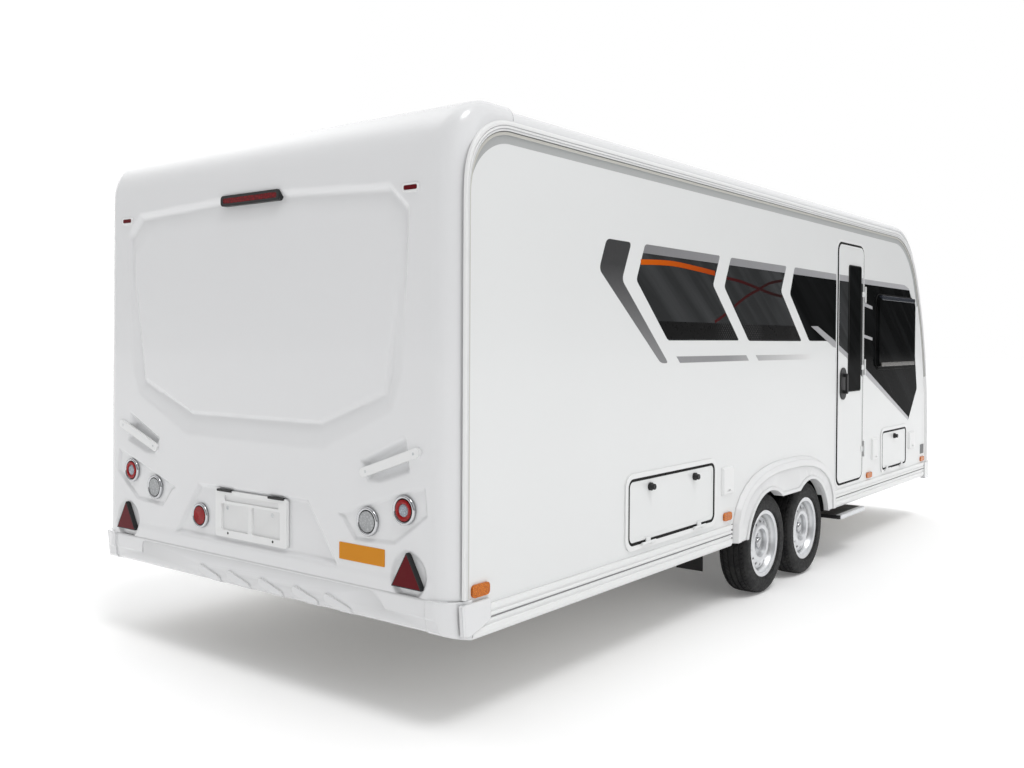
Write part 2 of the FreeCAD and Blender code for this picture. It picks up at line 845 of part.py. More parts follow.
def arch_trim():
    trim = lofted("xz", arch_ring(0), -half, arch_ring(v.arch_proud * 0.6), -half - v.arch_proud)
    border = v.arch_proud * 0.6 + v.arch_border
    field = solid("xz", corners(arch_ring(border)), -half - FAR, v.arch_field - half - v.arch_proud)
    lip_top = v.arch_dip + v.arch_border * 0.5
    lip = solid("xz", corners([(-axle_x, 0), (axle_x, 0), (axle_x, lip_top), (-axle_x, lip_top)]),
                -half - FAR, 0 - half)
    for x in (-axle_x, axle_x):
        add(lip, "xz", disc(x, v.tyre_radius, v.tyre_radius + v.arch_clear + v.arch_border * 0.5),
            -half - FAR, 0 - half)
    field = cut(field, lip)
    opening = solid("xz", rounded(-axle_x - v.tyre_radius, axle_x + v.tyre_radius, -FAR, 10, 5),
                    -half - 60, 10 - half)
    wheels = [rod(v.tyre_radius + v.arch_clear, "y", (x, -half - 60, v.tyre_radius), 70)
              for x in (-axle_x, axle_x)]
    reach = v.tyre_radius + v.arch_clear
    middle = block(-axle_x, axle_x, -half - 60, 10 - half, 0, v.arch_dip)
    below = block(-axle_x - reach, axle_x + reach, -half - 60, 10 - half, 0, v.tyre_radius)
    return cut(trim, field, opening, middle, below, *wheels)


publish("arch_trims", both(arch_trim()))


# Sills below the side walls

def sills():
    """Grooved skirts before and behind the wheel arch."""
    y_in = v.sill_thick - half
    y_out = -half - v.sill_proud
    top = v.wall_base - v.floor_gap
    base = v.sill_base
    profile = [(y_in, top), (y_out, top)]
    for start in (22, 46, 70):
        profile += [(y_out, top - start), (y_out + 7, top - start - 4), (y_out + 7, top - start - 12),
                    (y_out, top - start - 16)]
    profile += [(y_out, base + 18), (y_out + 10, base), (y_in, base), (y_in, base + 8),
                (y_in - 8, base + 8), (y_in - 8, top - 8), (y_in, top - 8)]
    spans = ((rear + v.bumper_wrap + 2, -v.arch_half - 12), (v.arch_half + 12, front - 213))
    return [solid("yz", corners(profile), x0, x1) for x0, x1 in spans]


publish("sills", both(*sills()))


# Rear bumper: flush at its top, tucked under, with a ribbed insert and proud corner caps

def bumper_section(proud):
    """The bumper seen from the side, moved outwards by a distance."""
    face = rear - proud
    wrap = rear + v.bumper_wrap
    top, base = v.bumper_top, v.bumper_base
    return [(wrap, top), (face + 4, top), (face, top - 8), (face, top - 72), (face + 4, top - 80),
            (face + 10, base + 15), (face + 20, base + 3), (face + 50, base - 7), (wrap, base - 27)]


def rear_bumper():
    wrap = rear + v.bumper_wrap
    z0, z1 = v.sill_base - 20, v.bumper_top + 20
    turn = v.rear_corner_radius
    far = wrap + FAR

    def wrapped(proud, y_half, radius):
        plan = solid("xy", rounded(rear - proud, far, -y_half, y_half, radius), z0, z1)
        return common(solid("xz", corners(bumper_section(proud)), -y_half, y_half), plan)
    main = wrapped(v.bumper_proud, half + v.bumper_side, turn)
    insert = solid("yz", corners([(868, 380), (875, 420), (875, 505), (868, 522), (852, 531), (-798, 533),
                                  (-822, 529), (-842, 518), (-905, 452), (-955, 412), (-975, 380)]),
                   rear - 60, rear - v.bumper_proud + v.insert_depth)
    caps = cut(wrapped(v.bumper_proud + v.cap_proud, half + v.cap_side, turn + 5),
               block(rear - 60, far, -1118, 1118, z0 - 5, z1 + 5))
    ribs = []
    shape = wrapped(v.bumper_proud + v.rib_proud, half, turn)
    for y in (394, 172, -64, -302, -511):
        slant = strap(y - 25, 454, y - 150, 417, v.rib_width / 2)
        ribs.append(common(shape, solid("yz", slant, rear - 40, wrap)))
    hollow = solid("xy", rounded(rear + 16, far, -half - 0.3, half + 0.3, turn - 40),
                   v.bumper_base + 30, v.bumper_top + 20)
    under = solid("xz", corners([(rear + 60, v.bumper_base + 31), (far, v.bumper_base + 31),
                                 (far, v.sill_base - 30), (wrap - 8, v.sill_base - 30)]),
                  v.wall_thick - half, half - v.wall_thick)
    return cut(fuse(cut(main, insert), caps, *ribs), hollow, under)


publish("rear_bumper", rear_bumper())


# Front skirt below the front panel

def front_skirt():
    """A shell round the front corners, open in the middle for the drawbar."""
    base, top = v.sill_base - 20, v.wall_base - v.floor_gap

    def nose(reach, side, turn, z0, z1):
        return solid("xy", rounded(front - FAR * 2, front + reach, -half - side, half + side, turn), z0, z1)
    return cut(nose(72, 18, v.front_corner_radius + 30, base, top),
               nose(-16, -18, v.front_corner_radius - 15, base - 10, top + 10),
               block(front - FAR * 3, front - 210, -half - 60, half + 60, base - 20, top + 20),
               block(front - 300, front + 100, -560, 560, 0, top + 10))


publish("front_skirt", front_skirt())


# Chassis: two long members that bend in to the coupling, with cross members

def rail_line():
    """The outer edge of the left member in plan: straight, then in to the coupling."""
    tip = v.overrun_width / 2 + v.floor_gap + v.rail_flange
    return [(rear + v.bumper_wrap + 150, v.rail_spread / 2), (v.rail_bend, v.rail_spread / 2),
            (v.ball_reach - 330, tip)]


def slope_of(start, end):
    return (end[1] - start[1]) / (end[0] - start[0])


def chassis_rail():
    """A channel along the floor that runs in to the drawbar on one side."""
    top, base = v.chassis_top, v.chassis_top - v.rail_height
    line_points = rail_line()
    wall, flange = v.rail_wall, v.rail_flange
    edge = line_points + [(a, b - flange) for a, b in line_points[::-1]]
    member = solid("xy", corners(edge), base, top)
    slope = slope_of(line_points[1], line_points[2])
    longer = [(line_points[0][0] - 50, line_points[0][1]), line_points[1],
              (line_points[2][0] + 50, line_points[2][1] + slope * 50)]
    hollow = [(a, b - wall) for a, b in longer] + [(a, b - flange - 30) for a, b in longer[::-1]]
    return remove(member, "xy", corners(hollow), base + wall, top - wall)


left_rail = chassis_rail()
publish("chassis_rail_left", left_rail)
publish("chassis_rail_right", mirror(left_rail))


def cross_members():
    """Bars between the long members, and outriggers to the walls."""
    y = v.rail_spread / 2 - v.rail_flange - v.floor_gap
    base = v.chassis_top - v.rail_height + 20
    pieces = []
    for x in (rear + 620, 0 - v.member_spacing, v.member_spacing):
        pieces.append(block(x - 25, x + 25, -y, y, base, v.chassis_top))
        arm = block(x - 20, x + 20, v.rail_spread / 2 + v.floor_gap, floor_side - 40,
                    v.chassis_top - 60, v.chassis_top)
        pieces += [arm, mirror(arm)]
    return pieces


publish("chassis_cross_members", group(cross_members()))


# Axles: a square tube with trailing arms, hubs and brake drums

def axle(x):
    tube_x = x + v.axle_trail
    size = v.axle_tube / 2
    tube_z = v.tyre_radius - 10
    arm_y = wheel_y - v.tyre_width / 2 - 30
    pieces = [block(tube_x - size, tube_x + size, 20 - arm_y, arm_y - 20, tube_z - size, tube_z + size)]
    y_rail = (v.rail_spread - v.rail_flange) / 2
    side = [rod(48, "y", (tube_x, arm_y - 20, tube_z), 42),
            rod(34, "y", (x, arm_y - 20, v.tyre_radius), 42),
            block(x, tube_x, arm_y - 20, arm_y + 22, tube_z - 26, tube_z + 30),
            rod(v.brake_radius, "y", (x, arm_y + 22, v.tyre_radius), 44),
            rod(v.hub_radius - 8, "y", (x, arm_y + 66, v.tyre_radius), wheel_y + 19.7 - arm_y - 66),
            block(tube_x - 60, tube_x + 60, y_rail - 30, y_rail + 30, tube_z + size - 2,
                  v.chassis_top - v.rail_height - v.floor_gap)]
    for piece in side:
        pieces += [piece, mirror(piece)]
    return fuse(*pieces)


publish("axle_rear", axle(-axle_x))
publish("axle_front", axle(axle_x))


# Wheels: a radial tyre on a steel rim with a raised, vented disc

def tyre(x, y):
    width = v.tyre_width / 2
    out = v.tyre_radius
    right = [(v.rim_radius + 12, width - 42), (v.rim_radius + 1, width - 40),
             (v.rim_radius + 1, width - 26.4), (v.flange_radius + 0.5, width - 16.4),
             (v.flange_radius + 3, width - 8), (v.rim_radius + 45, width), (out - 40, width - 2),
             (out - 14, width - 14), (out - 3, width - 30)]
    left = [(a, 0 - b) for a, b in right[::-1]]
    return turned([right + [(out, 0)] + left], x, y, v.tyre_radius)


def rim(x, y, side):
    """A rolled barrel and a pressed disc with a ring of vents."""
    width = v.tyre_width / 2
    r, f, hub = v.rim_radius, v.flange_radius, v.hub_radius
    barrel = [(r + 0.7, 26 - width), (f, 16 - width), (f, 12 - width), (r - 4, 14 - width),
              (r - 6, 30 - width), (r - 22, 50 - width), (r - 22, width - 60), (r - 8, width - 30),
              (r - 6, width - 14), (f, width - 12), (f, width - 16), (r + 0.7, width - 26),
              (r + 0.7, width - 44), (r - 14, width - 62), (r - 14, 52 - width), (r + 0.7, 42 - width)]
    pressed = [(r - 20, 34), (r - 40, 46), (r - 78, 60), (r - 100, 58), (hub + 22, 30),
               (hub, 24), (34, 24), (34, 20), (hub, 20), (hub + 25, 26),
               (r - 100, 53), (r - 78, 55), (r - 42, 41), (r - 23, 30)]
    profiles = [[(a, b * side) for a, b in points] for points in (barrel, pressed)]
    body = turned(profiles, x, y, v.tyre_radius)
    near, far = (0, 100) if side > 0 else (-100, 0)
    remove(body, "xz", disc(0, r - 56, v.vent_radius), near, far)
    vent = body.Tip
    vents = body.newObject("PartDesign::PolarPattern", "vents")
    vents.Originals = [vent]
    vents.Axis = (next(item for item in body.Origin.OriginFeatures if item.Role == "Y_Axis"), [""])
    vents.Angle = 360
    vents.Occurrences = 14
    body.Tip = vents
    return body


for end, x in (("rear", -axle_x), ("front", axle_x)):
    for name, side in (("left", 1), ("right", -1)):
        publish("tyre_%s_%s" % (end, name), tyre(x, wheel_y * side))
        publish("rim_%s_%s" % (end, name), rim(x, wheel_y * side, side))


# Entrance door with its pane and handle

door_out = -half - 5


def entrance_door():
    """The door's leaf with the hole for its pane."""
    leaf = solid("xz", inside(*door, v.leaf_gap, v.door_corner - v.leaf_gap), door_out,
                 door_out + v.door_thick)
    return remove(leaf, "xz", rounded(v.pane_rear + 8, v.pane_front - 8, v.pane_base + 8, v.pane_top - 8,
                                      v.pane_corner), door_out, door_out + v.door_thick)


def door_hinges():
    """The fixed and the turning halves of the hinges at the door's front edge."""
    x, y = v.door_front + 12, -half - 14
    fixed, turning = [], []
    reach = v.hinge_length / 2
    for z in (1940, 1385, 760):
        still, moving, bore = hinge("z", (x, y, z - reach), v.hinge_length)
        plate = cut(block(x, x + 38, y + 6, -half, z - reach, z + reach),
                    block(x - 20, x + v.hinge_radius + 2, y, 1 - half, z - 22, z + 22))
        fixed.append(fuse(still, plate))
        flap = cut(block(v.door_front - 40, x, door_out - 4, door_out, z - 19, z + 19), bore)
        turning += [moving, flap]
    return fixed, turning


fixed_hinges, door_knuckles = door_hinges()
publish("entrance_door", fuse(entrance_door(), *door_knuckles))
publish("door_hinges", group(fixed_hinges))
publish("door_pane", solid("xz", rounded(v.pane_rear, v.pane_front, v.pane_base, v.pane_top, v.pane_corner),
                           door_out - 5, door_out))


def door_handle():
    """A long oval plate with a grip on two posts."""
    x, z = v.door_rear + 120, 1273
    plate = solid("xz", strap(x, z - 55, x, z + 55, 62), door_out - 8, door_out)
    grip = solid("xz", strap(x, z - 62, x, z + 62, 12), door_out - 38, door_out - 24)
    posts = [block(x - 9, x + 9, door_out - 26, door_out - 4, z + s * 60 - 12, z + s * 60 + 12)
             for s in (-1, 1)]
    return fuse(plate, grip, *posts)


publish("door_handle", door_handle())


# Locker doors and their frames

def leaf(x0, x1, z0, z1):
    """A locker door with a shallow pressed field."""
    inset = v.frame_width + v.leaf_gap
    plate = solid("xz", inside(x0, x1, z0, z1, inset, v.locker_corner - v.leaf_gap), -half - 4, 22 - half)
    return remove(plate, "xz", inside(x0, x1, z0, z1, inset + v.field_border, v.locker_corner * 0.6),
                  -half - 4, v.field_depth - half - 4)


def frame(x0, x1, z0, z1):
    plate = solid("xz", rounded(x0, x1, z0, z1, v.locker_corner + 20), -half - v.frame_proud, -half)
    return remove(plate, "xz", inside(x0, x1, z0, z1, v.frame_width, v.locker_corner),
                  -half - v.frame_proud, -half)


def knob(x, z):
    return fuse(rod(20, "y", (x, -half - 16, z), 12 + v.field_depth), rod(14, "y", (x, -half - 33, z), 29))


def locker_hinges(x0, x1, z0):
    """Two hinges along the lower edge: their fixed halves, and their turning ones."""
    y = -half - v.frame_proud - v.hinge_radius - 0.6
    z = z0 + v.frame_width
    reach = v.hinge_length / 2 + 10
    fixed, turning = [], []
    inset = (x1 - x0) * 0.22
    for x in (x0 + inset, x1 - inset):
        still, moving, bore = hinge("x", (x - reach, y, z), reach * 2)
        tab = cut(block(x - reach, x + reach, y, -half - v.frame_proud, z - 12, z - 1),
                  block(x - 25, x + 25, y - 10, -half, z - 20, z + 10))
        fixed.append(fuse(still, tab))
        flap = cut(block(x - 22, x + 22, y + 3, -half - 4, z + 2, z + 26), bore)
        web = cut(block(x - 22, x + 22, y - 1, y + 7, z + 2, z + 7), bore)
        turning += [moving, web, flap]
    return fixed, turning


def locker(edges, knobs):
    x0, x1, z0, z1 = edges
    fixed, turning = locker_hinges(x0, x1, z0)
    door_leaf = fuse(leaf(*edges), *[knob(x, z1 - 81) for x in knobs], *turning)
    return door_leaf, fuse(frame(*edges), *fixed)


rear_door, rear_frame = locker(rear_locker, (v.locker_rear + 243, v.locker_front - 270))
front_door, front_frame = locker(front_locker, ((v.hatch_rear + v.hatch_front) / 2 - 5,))
side_door, side_frame = locker(service_locker, ((v.service_rear + v.service_front) / 2,))
publish("locker_door_rear", rear_door)
publish("locker_door_front", front_door)
publish("service_door_left", mirror(side_door))
publish("locker_frames", group([rear_frame, front_frame, mirror(side_frame)]))


# Windows: black bubble panes with a raised field

def bubble(x0, x1, z0, z1):
    pane = solid("xz", rounded(x0, x1, z0, z1, v.window_corner + 20), -half - 10, -half)
    return add(pane, "xz", inside(x0, x1, z0, z1, v.window_rim, v.window_corner),
               -half - v.window_proud, -half - 10)


publish("side_windows", group([bubble(*side_window)] + [mirror(bubble(*edges)) for edges in left_windows]))


# Roof lights

def roof_light(x, length, width):
    """A domed light on a flat frame."""
    z = v.roof_height
    light = solid("xy", rounded(x - length / 2, x + length / 2, -width / 2, width / 2, 40), z, z + 22)
    return add(light, "xy", rounded(x - length / 2 + 25, x + length / 2 - 25, 25 - width / 2,
                                    width / 2 - 25, 30), z + 22, z + 60)


publish("roof_lights", group([roof_light(-2200, 420, 420), roof_light(-500, 700, 500),
                              roof_light(1500, 420, 420)]))


# Lamps and reflectors at the rear

def lamp_unit(y, z, seat):
    """A round bezel with a dish for its lens, on the face or on a recess's floor."""
    x = rear + seat - v.lamp_depth
    ring_plate = rod(v.lamp_radius, "x", (x, y, z), v.lamp_depth)
    return cut(ring_plate, rod(v.lamp_radius - 9, "x", (x - 1, y, z), 6.5))


def lens_unit(y, z, seat):
    return rod(v.lamp_radius - 9.3, "x", (rear + seat - v.lamp_depth + 1, y, z), 4.3)


lamp_spots = [(986, 885, v.pod_depth), (-986, 885, v.pod_depth), (775, 815, v.pod_depth),
              (-775, 815, v.pod_depth), (398, 710, v.recess_depth)]
publish("lamp_housings", group([lamp_unit(*spot) for spot in lamp_spots]))
publish("lamp_lenses", group([lens_unit(*spot) for spot in lamp_spots]))


def triangle():
    """A triangular reflector on the floor of its dish, leaning back at the top."""
    y, z, size = v.reflector_side, v.reflector_height, v.reflector_radius
    floor = rear + v.dish_depth
    reach = size * 0.866
    outside = [(y, z + size), (y + reach, z - size / 2), (y - reach, z - size / 2)]
    face = [(y, z + size * 0.92), (y + reach * 0.92, z - size * 0.46), (y - reach * 0.92, z - size * 0.46)]
    return lofted("yz", face, floor - 26, outside, floor)


def end_marker():
    z = v.roof_height - 354
    return solid("yz", rounded(984, 1056, z - 9, z + 9, 6), rear - 6, rear)


publish("reflectors", both(triangle(), end_marker()))
publish("brake_light", solid("yz", rounded(-212, 212, brake_height - 23.5, brake_height + 23.5, 16),
                             rear - 8, recess_floor))


# Flat straps to pull the caravan by, at the rear and at the front

def rear_strap():
    return solid("yz", strap(760, 1022, 1062, 1126, 20), rear - 12, rear)


def front_strap():
    """An upright strap on the flat part of the front, beside the locker lid."""
    y = lid_half + 150
    bar = solid("yz", strap(y, 580, y, 730, 14), front + 22, front + 32)
    feet = [rod(12, "x", (front, y, z), 23) for z in (590, 720)]
    return fuse(bar, *feet)


publish("grab_handles", both(rear_strap(), front_strap()))


def front_marker():
    z = 560
    return solid("yz", rounded(930, 1010, z - 20, z + 20, 12), front, front + 10)


# Number plate holder: a box frame with two pockets and two clips

def plate_holder():
    back = recess_floor - 0.2
    face = back - v.holder_thick
    wide, top = v.holder_width / 2, v.holder_base + v.holder_height
    holder = solid("yz", rounded(-wide, wide, v.holder_base, top, 14), face, back)
    for y0, y1 in ((12, 215), (-215, -12)):
        remove(holder, "yz", rounded(y0, y1, v.holder_base + 33, top - 63, 8), face, back - 6)
    remove(holder, "yz", rounded(-205, 190, top - 50, top - 22, 8), face, face + 6)
    clips = [block(face - 6, face + 2, y - 52, y + 52, top - 5, top + 3) for y in (-190, 190)]
    return fuse(holder, *clips)


publish("plate_holder", plate_holder())


# Markers, service covers and the refrigerator's vents

def side_marker(x0, x1, z0, z1):
    return solid("xz", rounded(x0, x1, z0, z1, 18), -half - 10, -half)


marker_spots = [(-3218, -3107, 545, 597), (-948, -845, 535, 582), (1552, 1672, 520, 563),
                (2990, 3100, 518, 560)]
publish("side_markers", both(front_marker(), *[side_marker(*spot) for spot in marker_spots]))


def service_cover(x0, x1, z0, z1):
    """A tapered box with a finger slot."""
    wide = [(x0, z0), (x1, z0), (x1, z1), (x0, z1)]
    slim = [(x0 + 10, z0 + 6), (x1 - 10, z0 + 6), (x1 - 10, z1 - 10), (x0 + 10, z1 - 10)]
    cover = lofted("xz", wide, -half, slim, -half - 13)
    middle = (x0 + x1) / 2
    return remove(cover, "xz", rounded(middle - 22, middle + 22, z0 + 18, z0 + 30, 5), -half - 14, -half - 7)


cover_spots = [(-972, -822, 688, 850), (1666, 1820, 649, 820), (2640, 2810, 659, 806)]


def fridge_vent(z):
    """A louvred grille on the left wall."""
    x0, x1, height = 980.0, 1420.0, 190.0
    grille = solid("xz", rounded(x0, x1, z, z + height, 16), -half - 12, -half)
    remove(grille, "xz", rounded(x0 + 24, x1 - 24, z + 22, z + 36, 5), -half - 12, -half - 4)
    louvre = grille.Tip
    louvres = grille.newObject("PartDesign::LinearPattern", "louvres")
    louvres.Originals = [louvre]
    louvres.Direction = (next(item for item in grille.Origin.OriginFeatures if item.Role == "Z_Axis"), [""])
    louvres.Length = height - 58
    louvres.Occurrences = 6
    grille.Tip = louvres
    return grille


vents = mirror(group([fridge_vent(700.0), fridge_vent(1080.0)]))
publish("service_covers", group([service_cover(*spot) for spot in cover_spots] + [vents]))


# Wheel boxes, with the mud flaps behind them

def mud_flap():
    """A flap under the floor behind the rear wheel."""
    x = -axle_x - v.tyre_radius - 62
    flap = block(x, x + 6, 250 - half, 430 - half, 165, v.wall_base - v.floor_gap)
    return fuse(flap, block(x - 20, x, 260 - half, 420 - half, v.wall_base - 30, v.wall_base - v.floor_gap))


publish("wheel_boxes", both(wheel_box(), mud_flap()))


# Entry step that slides out below the door

step_out = -half - v.step_reach
tread_in = step_out + v.step_depth
arm_spots = (v.step_rear + v.step_arm_inset, v.step_front - v.step_arm_inset)


def entry_step():
    """A tread with a folded edge on two arms."""
    top = v.step_height
    tread = solid("xy", rounded(v.step_rear, v.step_front, step_out, tread_in, 22), top - 24, top)
    remove(tread, "xy", rounded(v.step_rear + 24, v.step_front - 24, step_out + 24, tread_in - 24, 8),
           top - 25, top - 5)
    arms = [block(x - 12, x + 12, tread_in - 60, tread_in + 400, top - 54, top - 23.9) for x in arm_spots]
    return fuse(tread, *arms)


publish("entry_step", entry_step())


def step_guides():
    """Two guides under the floor that carry the arms of the step."""
    top = v.step_height - 23.7
    guides = []
    for x in arm_spots:
        guide = block(x - 20, x + 20, tread_in + v.step_travel + 8, 560 - half, top - 38,
                      v.wall_base - v.floor_gap)
        slot = block(x - 12.3, x + 12.3, 300 - half, 600 - half, top - 30.6, top)
        guides.append(cut(guide, slot))
    return guides


publish("step_guides", group(step_guides()))


# Coupling, overrun housing and handbrake

def coupling():
    """A cup over the ball with a neck and a lever."""
    ball = v.ball_bore / 2
    z, x = v.ball_height, v.ball_reach
    outside = ball + 14
    cup = turned([[(0, -18), (outside, -18), (outside, 16), (outside - 5, 30), (outside - 15, 40),
                   (outside - 24, 44), (0, 44)]], x, 0, z, "z")
    neck = block(x - 160, x - 5, -27.0, 27.0, z - 14, z + 36)
    post = block(x - 90, x - 60, -10.0, 10.0, z + 30, z + 62)
    lever = solid("xy", rounded(x - 130, x + 50, -14, 14, 12), z + 56, z + 70)
    return cut(fuse(cup, neck, post, lever), rod(ball, "z", (x, 0, z - 20), 44))


publish("coupling_head", coupling())


def overrun():
    """The damper housing, its yoke on the drawbar and the ribbed gaiter."""
    x1 = v.ball_reach - 160.3
    z = v.ball_height + 4
    wide = v.overrun_width / 2
    rings = [rod(38 - 6 * (i % 2), "x", (x1 - 72 - 12 * i, 0, z), 12) for i in range(9)]
    body = block(x1 - 420, x1 - 168, -wide, wide, z - 52, v.chassis_top + 20)
    yoke = block(x1 - 400, x1 - 190, -wide - 60, wide + 60, v.chassis_top + v.floor_gap, v.chassis_top + 8)
    return fuse(rod(24, "x", (x1 - 60, 0, z), 60), body, yoke, *rings)


publish("overrun_device", overrun())


def handbrake():
    x = v.ball_reach - 470
    z = v.chassis_top + 20.3
    foot = block(x - 40, x + 40, -20.0, -4.0, z, z + 60)
    lever = slanted_rod(9, (x, -12.0, z + 40), (x + 190, -12.0, z + 210))
    grip = slanted_rod(15, (x + 110, -12.0, z + 138), (x + 190, -12.0, z + 210))
    return fuse(foot, lever, grip)


publish("handbrake_lever", handbrake())


# Jockey wheel on its clamp

def drawbar_edge(x):
    """The outer edge of the left member where it runs in to the coupling."""
    bend, tip = rail_line()[1:]
    return bend[1] + slope_of(bend, tip) * (x - bend[0])


jockey_x = v.ball_reach - v.jockey_setback
jockey_y = drawbar_edge(jockey_x) + 24 + v.jockey_gap


def jockey_tube():
    """The tube, its clamp on the drawbar and the winding handle."""
    top = v.ball_height + 330
    x, y = jockey_x, jockey_y
    plan = [(x + side * 35, drawbar_edge(x + side * 35) + v.floor_gap) for side in (-1, 1)]
    plan += [(x + 35, y + 30), (x - 35, y + 30)]
    clamp = solid("xy", corners(plan), v.chassis_top - 110, v.chassis_top - 50)
    crank = [rod(8, "z", (x, y, top), 30), rod(8, "x", (x, y, top + 24), 110),
             rod(13, "z", (x + 110, y, top + 14), 76)]
    return fuse(rod(24, "z", (x, y, 260), top - 260), clamp, *crank)


publish("jockey_tube", jockey_tube())


def jockey_fork():
    """A swivelling stem with two cheeks and the pin of the wheel."""
    r, w = v.jockey_radius, v.jockey_width / 2 + 4
    x, y, trail = jockey_x, jockey_y, v.jockey_trail
    crown = r * 2 + 22
    plate = block(x - trail - 24, x + 24, y - w - 5, y + w + 5, crown - 8, crown + 2)
    cheeks = [block(x - trail - 20, x - trail + 40, y + s * (w + 2.5) - 2.5, y + s * (w + 2.5) + 2.5,
                    r - 18, crown) for s in (-1, 1)]
    pin = rod(8, "y", (x - trail, y - w - 8, r), w * 2 + 16)
    return fuse(rod(19, "z", (x, y, crown), 259.5 - crown), plate, pin, *cheeks)


publish("jockey_fork", jockey_fork())


def jockey_wheel():
    r, w = v.jockey_radius, v.jockey_width / 2
    right = [(8.4, w), (30, w), (34, w - 8), (r - 32, w - 8), (r - 28, w - 2), (r - 8, w - 3), (r, w - 14)]
    profile = right + [(a, 0 - b) for a, b in right[::-1]]
    return turned([profile], jockey_x - v.jockey_trail, jockey_y, r)


publish("jockey_wheel", jockey_wheel())


# Corner steadies, wound up under the chassis

def steady(x, facing):
    y = 560.0
    top = v.chassis_top - v.rail_height - v.floor_gap
    reach = x + facing * 420
    bracket = block(x - 60, x + 60, y - 40, y + 120, top - 6, top)
    leg = block(min(x, reach), max(x, reach), y - 18, y + 18, top - 50, top - 14)
    lug = block(x - 20, x + 20, y - 22, y + 22, top - 30, top)
    return fuse(bracket, leg, lug)


publish("corner_steadies", both(steady(rear + 480, 1), steady(v.rail_bend - 100, -1)))


# Furniture that shows through the panes and the open door

def kitchen():
    """A unit along the left wall, clear of the wheel box."""
    gap = 12
    unit = block(-240.0, 820.0, floor_side - 560, floor_side - v.floor_gap, floor_top + v.floor_gap, 1180)
    return cut(unit, block(-arch_reach - gap, arch_reach + gap, well_inner - gap, half, v.wall_base,
                           box_top + gap))


def bed():
    """A board on an end panel, with the storage that the rear locker opens into."""
    x0, x1 = rear + v.rear_thick + 8, v.locker_front
    side = floor_side - 12
    board = block(x0, x1, -side, side, 960, 990)
    end = block(x1 - 25, x1, -side, side, floor_top + v.floor_gap, 960)
    mattress = solid("xy", rounded(x0 + 30, x1 - 20, -850, 850, 45), 990, 1130)
    return common(fuse(board, end, mattress), inner)


def bench():
    """A seat locker along one side wall, open towards the wall."""
    y0, y1 = 640.0, floor_side - 14
    top = block(1700.0, 2840.0, y0, y1, 900, 925)
    face = block(1700.0, 2840.0, y0, y0 + 22, floor_top + v.floor_gap, 900)
    end = block(1700.0, 1722.0, y0, y1, floor_top + v.floor_gap, 900)
    cushion = solid("xy", rounded(1710, 2830, y0 + 5, y1 - 5, 35), 925, 1045)
    return fuse(top, face, end, cushion)


def bulkhead():
    """The wall and lid of the front gas locker."""
    x0, side = 2860.0, floor_side - 12
    wall = block(x0, x0 + 20, -side, side, floor_top + v.floor_gap, 1180)
    shelf = block(x0, front + 50, -side, side, 1160, 1180)
    return common(fuse(wall, shelf), inner)


seat = bench()
publish("furniture", group([kitchen(), bed(), seat, mirror(seat)]))
publish("gas_locker_bulkhead", bulkhead())


# Checks on every object, then one file for each sub-part

doc.recompute()
for item in doc.Objects:
    if "Invalid" in item.State or "Error" in item.State:
        raise RuntimeError("failed: %s %s" % (item.Name, item.State))
bad = [item.Label for item in nodes
       if item.Shape.isNull() or not item.Shape.isValid() or not item.Shape.Solids]
if bad:
    raise RuntimeError("bad shapes: %s" % ", ".join(bad))
for item in nodes:
    item.Shape.exportStep("parts/%s.step" % item.Label)
print(len(nodes), "sub-parts written")
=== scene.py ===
import math

import bmesh
import bpy
import numpy as np
from mathutils import Matrix, Vector


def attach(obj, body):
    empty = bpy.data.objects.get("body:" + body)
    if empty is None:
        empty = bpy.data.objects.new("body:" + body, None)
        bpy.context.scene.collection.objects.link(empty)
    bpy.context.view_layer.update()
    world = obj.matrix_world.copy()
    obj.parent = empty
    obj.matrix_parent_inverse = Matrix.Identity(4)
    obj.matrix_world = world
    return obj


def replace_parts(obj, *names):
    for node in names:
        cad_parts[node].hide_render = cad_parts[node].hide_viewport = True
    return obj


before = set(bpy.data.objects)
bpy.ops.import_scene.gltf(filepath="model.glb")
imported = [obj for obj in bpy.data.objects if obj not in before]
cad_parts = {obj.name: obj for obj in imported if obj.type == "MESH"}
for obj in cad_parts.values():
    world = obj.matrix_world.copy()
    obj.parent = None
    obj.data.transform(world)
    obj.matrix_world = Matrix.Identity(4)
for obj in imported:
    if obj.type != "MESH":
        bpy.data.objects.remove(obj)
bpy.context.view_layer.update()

# Metres. X points to the hitch, Y to the left, Z up.
SIDE = 1.25
DOOR_FACE = SIDE + 0.005
LOCKER_FACE = SIDE + 0.004
REAR = -3.33
REFLECTOR_Y = 1.015
REFLECTOR_Z = 0.622
AXLE = 0.333
TYRE_RADIUS = 0.311
WHEEL_Y = 1.1575
SIDES = {"right": -1, "left": 1}


# Materials

class Shading:
    """The nodes of a material or a world, put together step by step."""

    def __init__(self, owner):
        owner.use_nodes = True
        self.tree = owner.node_tree

    def node(self, kind, values=(), **settings):
        made = self.tree.nodes.new(kind)
        for key, value in settings.items():
            setattr(made, key, value)
        self.fill(made, dict(values))
        return made

    def fill(self, node, values):
        """Sets a node's inputs to values, or links them to other nodes' outputs."""
        for key, value in values.items():
            if isinstance(value, bpy.types.NodeSocket):
                self.tree.links.new(value, node.inputs[key])
            else:
                node.inputs[key].default_value = value

    def span(self, value, low, high, out_low=0.0, out_high=1.0, **settings):
        values = {"Value": value, "From Min": low, "From Max": high, "To Min": out_low,
                  "To Max": out_high}
        return self.node("ShaderNodeMapRange", values, **settings).outputs[0]


